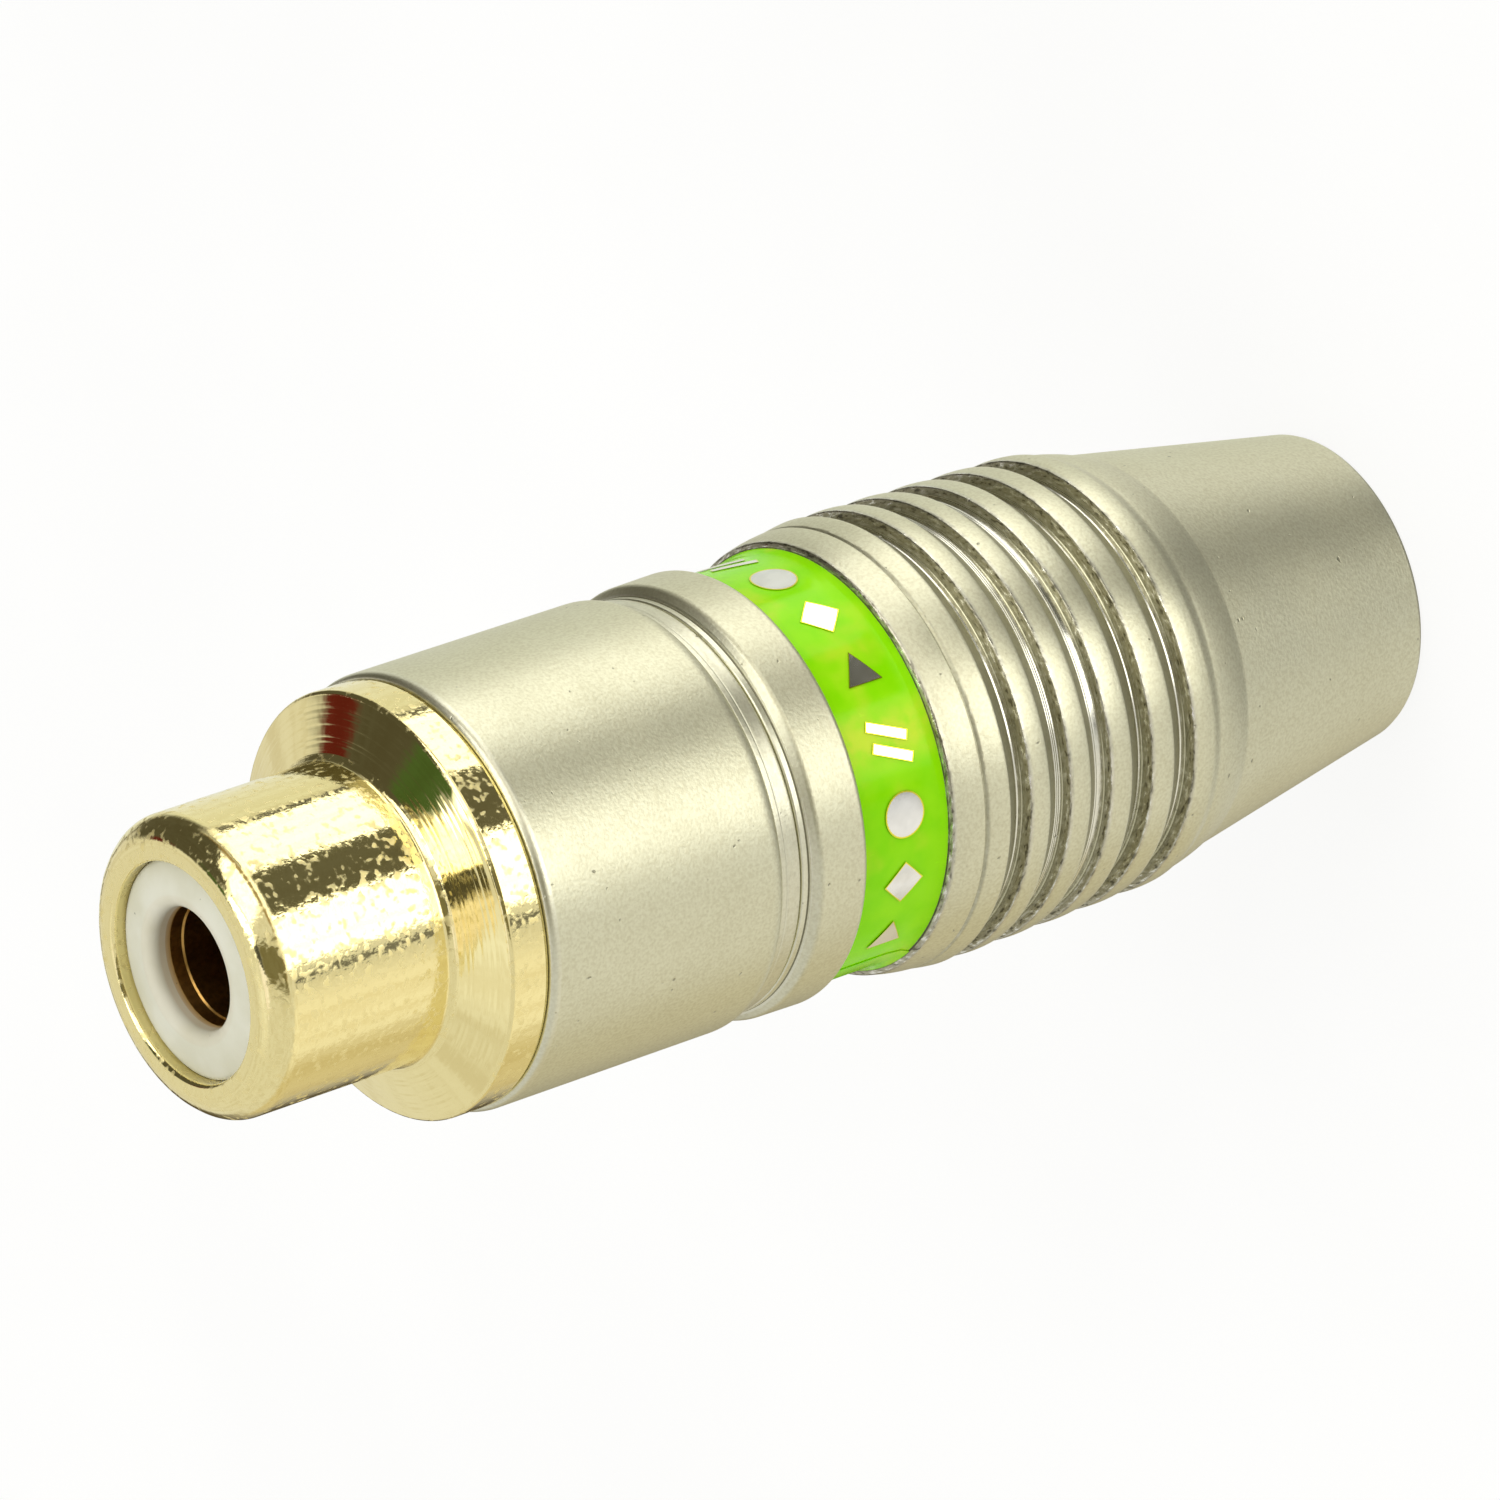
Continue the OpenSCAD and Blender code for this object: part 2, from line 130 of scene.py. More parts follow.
def add_node(tree: bpy.types.NodeTree, kind: str | Op, inputs: dict | list | None = None,
             **settings: object) -> bpy.types.Node:
    """Adds a node, sets it up and links what it reads.

    Args:
        tree: The tree that gets the node.
        kind: The node's type, or a step that comes up often.
        inputs: What the inputs get, in order or by their name or place: a value, a socket, or a node that is
            read by its first output.
        settings: Attributes of the node.

    Returns:
        The new node.
    """
    if isinstance(kind, Op):
        kind, setting, choice = kind.value
        settings = {setting: choice, **settings}
    node = tree.nodes.new(kind)
    for name, value in settings.items():
        setattr(node, name, value)
    for key, value in inputs.items() if isinstance(inputs, dict) else enumerate(inputs or []):
        if isinstance(value, bpy.types.Node):
            value = value.outputs[0]
        if isinstance(value, bpy.types.NodeSocket):
            tree.links.new(value, node.inputs[key])
        else:
            node.inputs[key].default_value = value
    return node


def box_mm(node: str) -> tuple[Vector, Vector]:
    """Gives the lowest and highest corner of a CAD node in millimetres."""
    low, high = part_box(node)
    return low / MM, high / MM


@dataclass(frozen=True)
class SectionPoint:
    """A point of a turned section, with what the tool left there and the shade painted on it."""

    radius: float
    height: float
    burr: float = 0.0
    polish: float = 0.0
    thread: float = 0.0


@dataclass
class Section:
    """The closed section of a turned piece, walked round from point to point."""

    points: list[SectionPoint] = field(default_factory=list)
    guard: float = 0.02

    def at(self, radius: float, height: float, **marks: float) -> "Section":
        """Adds one point with its burr, polish and thread; burr and a negative polish also paint shade."""
        self.points.append(SectionPoint(radius, height, **marks))
        return self

    def run(self, radius: float, height: float, step: float = 0.5, ripple: float = 0.0, seed: int = 0,
            **marks: float) -> "Section":
        """Adds a straight stretch, guarded near both ends so that its shading stays flat.

        Args:
            radius: The radius at its end.
            height: The height at its end.
            step: The longest distance between its points.
            ripple: How far the turning tool's lines stand off the surface.
            seed: The seed of those lines.
            marks: The burr, polish and thread of its points; burr and a negative polish also paint shade.

        Returns:
            The section.
        """
        draw = random.Random(seed)
        last = self.points[-1]
        length = math.hypot(radius - last.radius, height - last.height)
        along = ((radius - last.radius) / length, (height - last.height) / length)
        count = max(1, math.ceil((length - 2 * self.guard) / step))
        inner = [self.guard + (length - 2 * self.guard) * i / count for i in range(count + 1)]
        for place in inner if length > 3 * self.guard else []:
            lift = ripple * draw.uniform(-1, 1)
            self.at(last.radius + along[0] * place - along[1] * lift,
                    last.height + along[1] * place + along[0] * lift, **marks)
        return self.at(radius, height, **marks)

    def arc(self, radius: float, height: float, half_r: float, half_z: float, start: float, end: float,
            steps: int = 8, **marks: float) -> "Section":
        """Adds an oval arc.

        Args:
            radius: The radius of its centre.
            height: The height of its centre.
            half_r: Its half axis across.
            half_z: Its half axis along.
            start: The angle where it starts, in degrees.
            end: The angle where it ends, in degrees.
            steps: How many chords it has.
            marks: The burr, polish and thread of its points; burr and a negative polish also paint shade.

        Returns:
            The section.
        """
        for i in range(steps + 1):
            turn = math.radians(start + (end - start) * i / steps)
            self.at(radius + half_r * math.cos(turn), height + half_z * math.sin(turn), **marks)
        return self

    def swell(self, radius: float, height: float, rise: float = 0.0, steps: int = 10, **marks: float) -> "Section":
        """Adds a shallow crown from the last point.

        Args:
            radius: The radius at its end.
            height: The height at its end.
            rise: How far its middle stands above the straight line.
            steps: How many chords it has.
            marks: The burr, polish and thread of its points; burr and a negative polish also paint shade.

        Returns:
            The section.
        """
        last = self.points[-1]
        for i in range(1, steps + 1):
            t = i / steps
            self.at(last.radius + (radius - last.radius) * t + 4 * rise * t * (1 - t),
                    last.height + (height - last.height) * t, **marks)
        return self

    def ease(self, radius: float, height: float, steps: int = 8, **marks: float) -> "Section":
        """Adds a soft step from the last point, level at both ends.

        Args:
            radius: The radius at its end.
            height: The height at its end.
            steps: How many chords it has.
            marks: The burr, polish and thread of its points; burr and a negative polish also paint shade.

        Returns:
            The section.
        """
        last = self.points[-1]
        for i in range(1, steps + 1):
            t = i / steps
            self.at(last.radius + (radius - last.radius) * (1 - math.cos(math.pi * t)) / 2,
                    last.height + (height - last.height) * t, **marks)
        return self

    def line(self, depth: float, width: float, **marks: float) -> "Section":
        """Adds a fine line cut by the tool, going towards the tail from the last point.

        Args:
            depth: Its depth.
            width: Its width.
            marks: The burr, polish and thread of its floor; burr and a negative polish also paint shade.

        Returns:
            The section.
        """
        last = self.points[-1]
        self.at(last.radius - depth, last.height - 0.4 * width, **marks)
        self.at(last.radius - depth, last.height - 0.6 * width, **marks)
        return self.at(last.radius, last.height - width, **marks)

    def wire(self, name: str) -> bpy.types.Object:
        """Makes the section a mesh of points in the XZ plane, in metres, with its marks as attributes.

        Args:
            name: The name of the mesh and its object.

        Returns:
            The object.
        """
        mesh = bpy.data.meshes.new(name)
        mesh.from_pydata([(p.radius * MM, 0.0, p.height * MM) for p in self.points], [], [])
        for mark in MARKS:
            values = [getattr(p, mark) for p in self.points]
            mesh.attributes.new(mark, "FLOAT", "POINT").data.foreach_set("value", values)
        wire = bpy.data.objects.new(name, mesh)
        bpy.context.scene.collection.objects.link(wire)
        return wire


class Recipe:
    """A Geometry Nodes tree with named inputs, baked onto objects."""

    def __init__(self, name: str, inputs: dict[str, str]) -> None:
        """Starts the tree.

        Args:
            name: The tree's name.
            inputs: The socket type of each named input, after the geometry.
        """
        self.tree = bpy.data.node_groups.new(name, "GeometryNodeTree")
        self.tree.interface.new_socket("Geometry", in_out="INPUT", socket_type="NodeSocketGeometry")
        self.tree.interface.new_socket("Geometry", in_out="OUTPUT", socket_type="NodeSocketGeometry")
        self.sockets = {
            key: self.tree.interface.new_socket(key, in_out="INPUT", socket_type=kind).identifier
            for key, kind in inputs.items()
        }
        self.add = partial(add_node, self.tree)
        self.given = self.add("NodeGroupInput").outputs

    def close(self, geometry: Source) -> None:
        """Smooths the result, makes it real, gives it its finish and puts it out.

        Args:
            geometry: The finished shape.
        """
        smooth = self.add("GeometryNodeSetShadeSmooth", {"Geometry": geometry})
        real = self.add("GeometryNodeRealizeInstances", [smooth])
        finished = self.add("GeometryNodeSetMaterial", {"Geometry": real, "Material": self.given["Finish"]})
        self.add("NodeGroupOutput", [finished])

    def around(self, radius: Source, turn: Source, height: Source) -> bpy.types.Node:
        """Gives the place at a radius from the axis, a turn round it and a height.

        Args:
            radius: The radius.
            turn: The turn, in radians.
            height: The height.

        Returns:
            The node with the place.
        """
        across = [self.add(Op.MULTIPLY, [radius, self.add(part, [turn])]) for part in (Op.COSINE, Op.SINE)]
        return self.add("ShaderNodeCombineXYZ", [*across, height])

    def bake(self, blank: bpy.types.Object, values: dict, sharp_deg: float) -> bpy.types.Object:
        """Runs the tree on an object and leaves the result as its plain mesh.

        Args:
            blank: The object that the tree starts from.
            values: The value of each named input.
            sharp_deg: The turn between two faces past which their edge stays sharp.

        Returns:
            The same object.
        """
        modifier = blank.modifiers.new(self.tree.name, "NODES")
        modifier.node_group = self.tree
        for key, value in values.items():
            modifier[self.sockets[key]] = value
        graph = bpy.context.evaluated_depsgraph_get()
        mesh = bpy.data.meshes.new_from_object(blank.evaluated_get(graph), preserve_all_data_layers=True,
                                               depsgraph=graph)
        blank.modifiers.remove(modifier)
        blank.data = mesh
        turn_outwards(mesh)
        mesh.set_sharp_from_angle(angle=math.radians(sharp_deg))
        return blank


def turn_outwards(mesh: bpy.types.Mesh) -> None:
    """Points the faces of a closed mesh outwards.

    Args:
        mesh: The mesh.
    """
    shape = bmesh.new()
    shape.from_mesh(mesh)
    bmesh.ops.recalc_face_normals(shape, faces=shape.faces)
    shape.to_mesh(mesh)
    shape.free()


class TurningRecipe(Recipe):
    """Turns a section about Z, with burrs torn along its marked edges and a thread cut where it is marked."""

    def __init__(self) -> None:
        """Builds the tree."""
        super().__init__("turning", {
            "Segments": "NodeSocketInt", "Burr height": "NodeSocketFloat", "Burr length": "NodeSocketFloat",
            "Thread pitch": "NodeSocketFloat", "Thread depth": "NodeSocketFloat", "Seed": "NodeSocketInt",
            "Finish": "NodeSocketMaterial",
        })
        add, given = self.add, self.given
        count = add("GeometryNodeAttributeDomainSize", {
            "Geometry": given["Geometry"],
        }, component="MESH").outputs["Point Count"]
        segments = given["Segments"]
        grid = add("GeometryNodeMeshGrid", {
            "Size X": segments, "Size Y": count, "Vertices X": add(Op.ADD, [segments, 1]),
            "Vertices Y": add(Op.ADD, [count, 1]),
        })
        place = add("ShaderNodeSeparateXYZ", [add("GeometryNodeInputPosition")]).outputs
        step = add(Op.MULTIPLY_ADD, [segments, 0.5, place[0]])
        row = add(Op.MODULO, [add(Op.ROUND, [add(Op.MULTIPLY_ADD, [count, 0.5, place[1]])]), count])
        turn = add(Op.MULTIPLY, [add(Op.DIVIDE, [step, segments]), math.tau])
        own = add("ShaderNodeSeparateXYZ", [self.sample(row, "position")]).outputs
        sampled = {mark: self.sample(row, mark) for mark in MARKS}

        on_ring = self.around(own[0], turn, own[2])
        tear = add(Op.NOISE, {
            "Vector": on_ring, "W": given["Seed"], "Detail": 4.0, "Roughness": 0.65,
            "Scale": add(Op.DIVIDE, [1.0, given["Burr length"]]),
        }, noise_dimensions="4D").outputs["Color"]
        torn = add("ShaderNodeSeparateXYZ", [tear]).outputs
        height = add(Op.MULTIPLY, [sampled["burr"], given["Burr height"]])
        out_by = add(Op.MULTIPLY, [add(Op.SUBTRACT, [torn[0], 0.5]), height])
        up_by = add(Op.MULTIPLY, [add(Op.SUBTRACT, [torn[1], 0.5]), height])

        turns = add(Op.SUBTRACT, [add(Op.DIVIDE, [own[2], given["Thread pitch"]]), add(Op.DIVIDE, [turn, math.tau])])
        flank = add(Op.PINGPONG, [turns, 0.5])
        cut = add(Op.MULTIPLY, [
            add(Op.MULTIPLY, [flank, 2.0]), add(Op.MULTIPLY, [sampled["thread"], given["Thread depth"]]),
        ])
        radius = add(Op.SUBTRACT, [add(Op.ADD, [own[0], out_by]), cut])
        marked = grid
        for mark in ("polish", "burr"):
            # the marks are kept before the rows move, because they are read by the grid's own places
            marked = add(Op.KEEP, {"Geometry": marked, "Name": mark, "Value": sampled[mark]}, domain="POINT")
        turned = add("GeometryNodeSetPosition", {
            "Geometry": marked, "Position": self.around(radius, turn, add(Op.ADD, [own[2], up_by])),
        })
        self.close(add("GeometryNodeMergeByDistance", {"Geometry": turned, "Distance": WELD}))

    def sample(self, row: Source, name: str) -> bpy.types.Node:
        """Reads the section's position or one of its marks at a row.

        Args:
            row: The row.
            name: The mark's name, or position.

        Returns:
            The node with what was read.
        """
        if name == "position":
            kind, value = "FLOAT_VECTOR", self.add("GeometryNodeInputPosition")
        else:
            kind = "FLOAT"
            value = self.add("GeometryNodeInputNamedAttribute", {"Name": name}, data_type=kind)
        return self.add("GeometryNodeSampleIndex", {
            "Geometry": self.given["Geometry"], "Value": value, "Index": row,
        }, data_type=kind, domain="POINT")

    def turn(self, name: str, section: Section, finish: bpy.types.Material, segments: int = 480,
             burr_h: float = 0.07, burr_len: float = 0.32, pitch: float = 0.75, depth: float = 0.36,
             seed: int = 1) -> bpy.types.Object:
        """Turns one piece.

        Args:
            name: The piece's name.
            section: Its closed section.
            finish: Its material.
            segments: How many faces go round it.
            burr_h: The height of its burrs.
            burr_len: The length of its burrs.
            pitch: The pitch of its thread.
            depth: The depth of its thread.
            seed: The seed of its burrs.

        Returns:
            The piece, at the origin, with its place in its mesh.
        """
        return self.bake(section.wire(name), {
            "Segments": segments, "Burr height": burr_h * MM, "Burr length": burr_len * MM,
            "Thread pitch": pitch * MM, "Thread depth": depth * MM, "Seed": seed, "Finish": finish,
        }, sharp_deg=32)


class MarksRecipe(Recipe):
    """Foil marks set at even steps round the label: triangles, diamonds, dots and slanted bars."""

    def __init__(self) -> None:
        """Builds the tree."""
        super().__init__("foil_marks", {
            "Count": "NodeSocketInt", "First angle": "NodeSocketFloat", "Step angle": "NodeSocketFloat",
            "Radius": "NodeSocketFloat", "Middle": "NodeSocketFloat", "Size": "NodeSocketFloat",
            "Bar width": "NodeSocketFloat", "Lift": "NodeSocketFloat", "Finish": "NodeSocketMaterial",
        })
        add, given = self.add, self.given
        spacing = add(Op.MULTIPLY, [given["Step angle"], given["Radius"]])
        row = add("GeometryNodeMeshLine", {"Count": given["Count"], "Offset": add("ShaderNodeCombineXYZ", [spacing])})
        number = add("GeometryNodeInputIndex")
        shapes = [*[self.disc(mark) for mark in Mark], self.bars()]
        joined = self.join([self.place(row, number, i, len(shapes), shape) for i, shape in enumerate(shapes)])
        real = add("GeometryNodeRealizeInstances", [joined])
        fine = add("GeometryNodeSubdivideMesh", {"Mesh": real, "Level": 3})
        sides = add("GeometryNodeInputMeshEdgeNeighbors")
        outline = add("GeometryNodeFieldOnDomain", {
            "Value": add(Op.COMPARE, [sides, 1.0, 0.1]),
        }, data_type="BOOLEAN", domain="EDGE")
        edged = add(Op.KEEP, {"Geometry": fine, "Name": "rim", "Value": outline}, domain="POINT")
        flat = add("ShaderNodeSeparateXYZ", [add("GeometryNodeInputPosition")]).outputs
        turn = add(Op.ADD, [given["First angle"], add(Op.DIVIDE, [flat[0], given["Radius"]])])
        round_label = add("GeometryNodeSetPosition", {
            "Geometry": edged, "Position": self.around(given["Radius"], turn, add(Op.ADD, [given["Middle"], flat[1]])),
        })
        foil = add("GeometryNodeExtrudeMesh", {
            "Mesh": round_label, "Offset Scale": given["Lift"], "Individual": False,
        }, mode="FACES")
        back = add("GeometryNodeFlipFaces", {"Mesh": round_label})
        both = self.join([foil, back])
        self.close(add("GeometryNodeMergeByDistance", {"Geometry": both, "Distance": FINE_WELD}))

    def join(self, shapes: list[bpy.types.Node]) -> bpy.types.Node:
        """Joins shapes in one.

        Args:
            shapes: The nodes that make them.

        Returns:
            The node that joins them.
        """
        joined = self.add("GeometryNodeJoinGeometry")
        for shape in shapes:
            self.tree.links.new(shape.outputs[0], joined.inputs[0])
        return joined

    def disc(self, mark: Mark) -> bpy.types.Node:
        """Makes one filled shape with the mark's number of corners."""
        return self.add("GeometryNodeMeshCircle", {
            "Vertices": mark.value, "Radius": self.add(Op.MULTIPLY, [self.given["Size"], 0.5]),
        }, fill_type="TRIANGLE_FAN")

    def bars(self) -> bpy.types.Node:
        """Makes a pair of slanted bars.

        Returns:
            The node that joins them.
        """
        add, given = self.add, self.given
        bar = add("GeometryNodeMeshGrid", {
            "Size X": given["Bar width"], "Size Y": given["Size"], "Vertices X": 2, "Vertices Y": 4,
        })
        return self.join([
            add("GeometryNodeTransform", {
                "Geometry": bar, "Rotation": (0.0, 0.0, math.radians(BAR_SLANT_DEG)),
                "Translation": add("ShaderNodeCombineXYZ", [add(Op.MULTIPLY, [given["Bar width"], side])]),
            }) for side in (-1, 1)
        ])

    def place(self, row: Source, number: Source, which: int, kinds: int, shape: Source) -> bpy.types.Node:
        """Sets one shape on every point of the row whose turn it is.

        Args:
            row: The row of points.
            number: The point's number.
            which: The shape's number among the kinds.
            kinds: How many kinds there are.
            shape: The shape.

        Returns:
            The node that sets the shapes.
        """
        mine = self.add(Op.COMPARE, [self.add(Op.MODULO, [number, kinds]), which, 0.1])
        return self.add("GeometryNodeInstanceOnPoints", {"Points": row, "Selection": mine, "Instance": shape})


def finish_tree(name: str) -> tuple[bpy.types.Material, Adder]:
    """Starts a material with an empty tree.

    Args:
        name: The material's name.

    Returns:
        The material, and what adds nodes to its tree.
    """
    material = bpy.data.materials.new(name)
    material.use_nodes = True
    material.node_tree.nodes.clear()
    return material, partial(add_node, material.node_tree)


def surface(add: Adder, height: Source | float, inputs: dict) -> None:
    """Ends a material's tree with its shader.

    Args:
        add: What adds nodes to the tree.
        height: The surface's relief in metres.
        inputs: What the shader gets besides.
    """
    relief = add("ShaderNodeBump", {"Strength": 1.0, "Distance": 1.0, "Height": height})
    shader = add("ShaderNodeBsdfPrincipled", {**inputs, "Normal": relief})
    add("ShaderNodeOutputMaterial", {"Surface": shader})


@dataclass(frozen=True)
class PlatedMetal:
    """Plate on turned brass: a metal's colour and gloss, with the grain or tool lines that lie under it.

    A field that ends in _h is a height in millimetres, and the patterns' own sizes are millimetres too.
    A pair of numbers is the stretch of a noise over which its pattern comes up.
    """

    name: str
    colour: str
    shade: str
    roughness: float
    polished: float
    grain: float
    grain_h: float
    line_h: float
    speck: float
    wave_h: float = 0.0
    blob_h: float = 0.0
    torn_h: float = 0.0
    pit: float = 0.0
    cut: str = ""
    patch: float = 2.4
    line: float = 0.07
    wave: float = 0.8
    blob: float = 0.22
    blob_gloss: float = 0.45
    blobs_at: tuple[float, float] = (0.5, 0.72)
    torn: float = 0.11
    torn_stretch: float = 0.4
    torn_mix: float = 0.5
    facets_at: tuple[float, float] = (0.52, 0.68)
    facet_gloss: float = -0.22
    cracks_at: tuple[float, float] = (0.34, 0.46)
    pits_at: tuple[float, float] = (0.76, 0.83)
    pit_h: float = 0.012
    painted_shade: str = "#3A3320"
    torn_shade: str = "#6E634A"
    crack_shade: str = "#332E20"
    dust: str = "#4A4434"

    def build(self) -> bpy.types.Material:
        """Makes the material.

        Returns:
            The material, which reads the piece's polish and burr where it has those attributes, and paints shade where
            the polish is negative and on torn metal.
        """
        material, add = finish_tree(self.name)
        where = add("ShaderNodeTexCoord").outputs["Object"]
        polish, burr = (add("ShaderNodeAttribute", attribute_name=mark).outputs["Fac"]
                        for mark in ("polish", "burr"))
        place = add("ShaderNodeSeparateXYZ", [where]).outputs
        radius = add(Op.SQRT, [
            add(Op.ADD, [add(Op.MULTIPLY, [place[0], place[0]]), add(Op.MULTIPLY, [place[1], place[1]])]),
        ])
        # a tool line goes all the way round, so its noise reads the radius and the height only
        section = add("ShaderNodeCombineXYZ", [radius, place[2]])
        grain = add(Op.NOISE, {"Vector": where, "Scale": 1 / (self.grain * MM)})
        patches = add(Op.NOISE, {"Vector": where, "Scale": 1 / (self.patch * MM), "Detail": 4.0})
        lines = add(Op.NOISE, {"Vector": section, "Scale": 1 / (self.line * MM), "Detail": 3.0})
        rough = add(Op.SUBTRACT, [1.0, polish])

        mottle = add(Op.ADD, [
            add(Op.MULTIPLY, [add(Op.REMAP, [grain, 0.3, 0.75, 0.0, 1.0]), self.speck]),
            add(Op.MULTIPLY, [patches, 0.25]),
        ])
        tint = add(Op.MIX, {0: mottle, 6: linear(self.colour), 7: linear(self.shade)}).outputs[2]
        if self.cut:
            tint = add(Op.MIX, {0: polish, 6: tint, 7: linear(self.cut)}).outputs[2]
        # painted shade: a corner or hollow marked with a negative polish is darkened towards the shade colour
        tint = add(Op.MIX, {0: add(Op.MULTIPLY, [polish, -1.0]), 6: tint, 7: linear(self.painted_shade)}).outputs[2]
        gloss = add(Op.ADD, [add(Op.MULTIPLY, [rough, self.roughness]), add(Op.MULTIPLY, [polish, self.polished])])
        height = add(Op.ADD, [
            add(Op.MULTIPLY, [add(Op.MULTIPLY, [grain, rough]), self.grain_h * MM]),
            add(Op.MULTIPLY, [lines, self.line_h * MM]),
        ])
        if self.wave_h:
            waves = add(Op.NOISE, {"Vector": where, "Scale": 1 / (self.wave * MM)})
            height = add(Op.MULTIPLY_ADD, [waves, self.wave_h * MM, height])
        if self.blob_h:
            # small dull lumps in the plate, which stand light in a dark stripe and fray the mirrored edges
            lumps = add(Op.NOISE, {"Vector": where, "Scale": 1 / (self.blob * MM), "Detail": 1.0})
            blobs = add(Op.MULTIPLY, [
                add(Op.REMAP, [lumps, *self.blobs_at, 0.0, 1.0]),
                add(Op.MULTIPLY, [rough, add(Op.REMAP, [patches, 0.42, 0.6, 0.8, 1.0])]),
            ])
            gloss = add(Op.MULTIPLY_ADD, [blobs, self.blob_gloss, gloss])
            height = add(Op.MULTIPLY_ADD, [blobs, self.blob_h * MM, height])
        if self.torn_h:
            # metal torn out along the tool's path, longer round than across: painted shade browns it and darkens its
            # cracks, and its facets are glossier and painted in the paler cut colour as glints
            angle = add(Op.ARCTAN2, [place[0], add(Op.MULTIPLY, [place[1], -1.0])])
            path = add("ShaderNodeCombineXYZ", [
                radius, add(Op.MULTIPLY, [add(Op.MULTIPLY, [angle, radius]), self.torn_stretch]), place[2],
            ])
            torn = add(Op.NOISE, {"Vector": path, "Scale": 1 / (self.torn * MM), "Detail": 3.0})
            facets_and_glints = add(Op.MULTIPLY, [burr, add(Op.REMAP, [torn, *self.facets_at, 0.0, 1.0])])
            crack_darkening = add(Op.MULTIPLY, [burr, add(Op.REMAP, [torn, *self.cracks_at, 0.7, 0.0])])
            torn_shading = add(Op.MULTIPLY, [burr, self.torn_mix])
            for share, hex_colour in ((torn_shading, self.torn_shade), (facets_and_glints, self.cut), (crack_darkening, self.crack_shade)):
                tint = add(Op.MIX, {0: share, 6: tint, 7: linear(hex_colour)}).outputs[2]
            gloss = add(Op.MULTIPLY_ADD, [facets_and_glints, self.facet_gloss, gloss])
            height = add(Op.MULTIPLY_ADD, [add(Op.MULTIPLY, [torn, burr]), self.torn_h * MM, height])
        if self.pit:
            # dust and small pits in the plate, a few to each square centimetre
            holes = add(Op.NOISE, {"Vector": where, "Scale": 1 / (self.pit * MM), "Detail": 1.0})
            pits = add(Op.REMAP, [holes, *self.pits_at, 0.0, 1.0])
            tint = add(Op.MIX, {0: add(Op.MULTIPLY, [pits, 0.5]), 6: tint, 7: linear(self.dust)}).outputs[2]
            height = add(Op.SUBTRACT, [height, add(Op.MULTIPLY, [pits, self.pit_h * MM])])
        spread = add(Op.MULTIPLY_ADD, [patches, 0.3, 0.85])
        surface(add, height, {"Base Color": tint, "Metallic": 1.0, "Roughness": add(Op.MULTIPLY, [gloss, spread])})
        return material


@dataclass(frozen=True)
class TurnedPlastic:
    """Plastic turned from bar: matt, with slight tonal drift, stray dark specks, and painted brown shade, with the
    gold's reflection in it, where its burr mark is set.
    """

    name: str
    colour: str
    shade: str
    roughness: float
    grain: float = 0.12
    grain_h: float = 0.004
    drift: float = 1.6
    speck: float = 0.16
    painted_shade: str = "#B08B4E"
    dust: str = "#4F4A40"

    def build(self) -> bpy.types.Material:
        """Makes the material.

        Returns:
            The material, which paints brown shade where the piece's burr attribute is set.
        """
        material, add = finish_tree(self.name)
        where = add("ShaderNodeTexCoord").outputs["Object"]
        drift = add(Op.NOISE, {"Vector": where, "Scale": 1 / (self.drift * MM), "Detail": 3.0})
        grain = add(Op.NOISE, {"Vector": where, "Scale": 1 / (self.grain * MM)})
        stray = add(Op.NOISE, {"Vector": where, "Scale": 1 / (self.speck * MM), "Detail": 1.0})
        tint = add(Op.MIX, {
            0: add(Op.REMAP, [drift, 0.35, 0.7, 0.0, 1.0]), 6: linear(self.colour), 7: linear(self.shade),
        }).outputs[2]
        painted_shade = add("ShaderNodeAttribute", attribute_name="burr").outputs["Fac"]
        specks = add(Op.REMAP, [stray, 0.78, 0.84, 0.0, 0.8])
        for share, hex_colour in ((painted_shade, self.painted_shade), (specks, self.dust)):
            tint = add(Op.MIX, {0: share, 6: tint, 7: linear(hex_colour)}).outputs[2]
        surface(add, add(Op.MULTIPLY, [grain, self.grain_h * MM]), {
            "Base Color": tint, "Roughness": add(Op.MULTIPLY_ADD, [grain, 0.2, self.roughness]),
        })
        return material


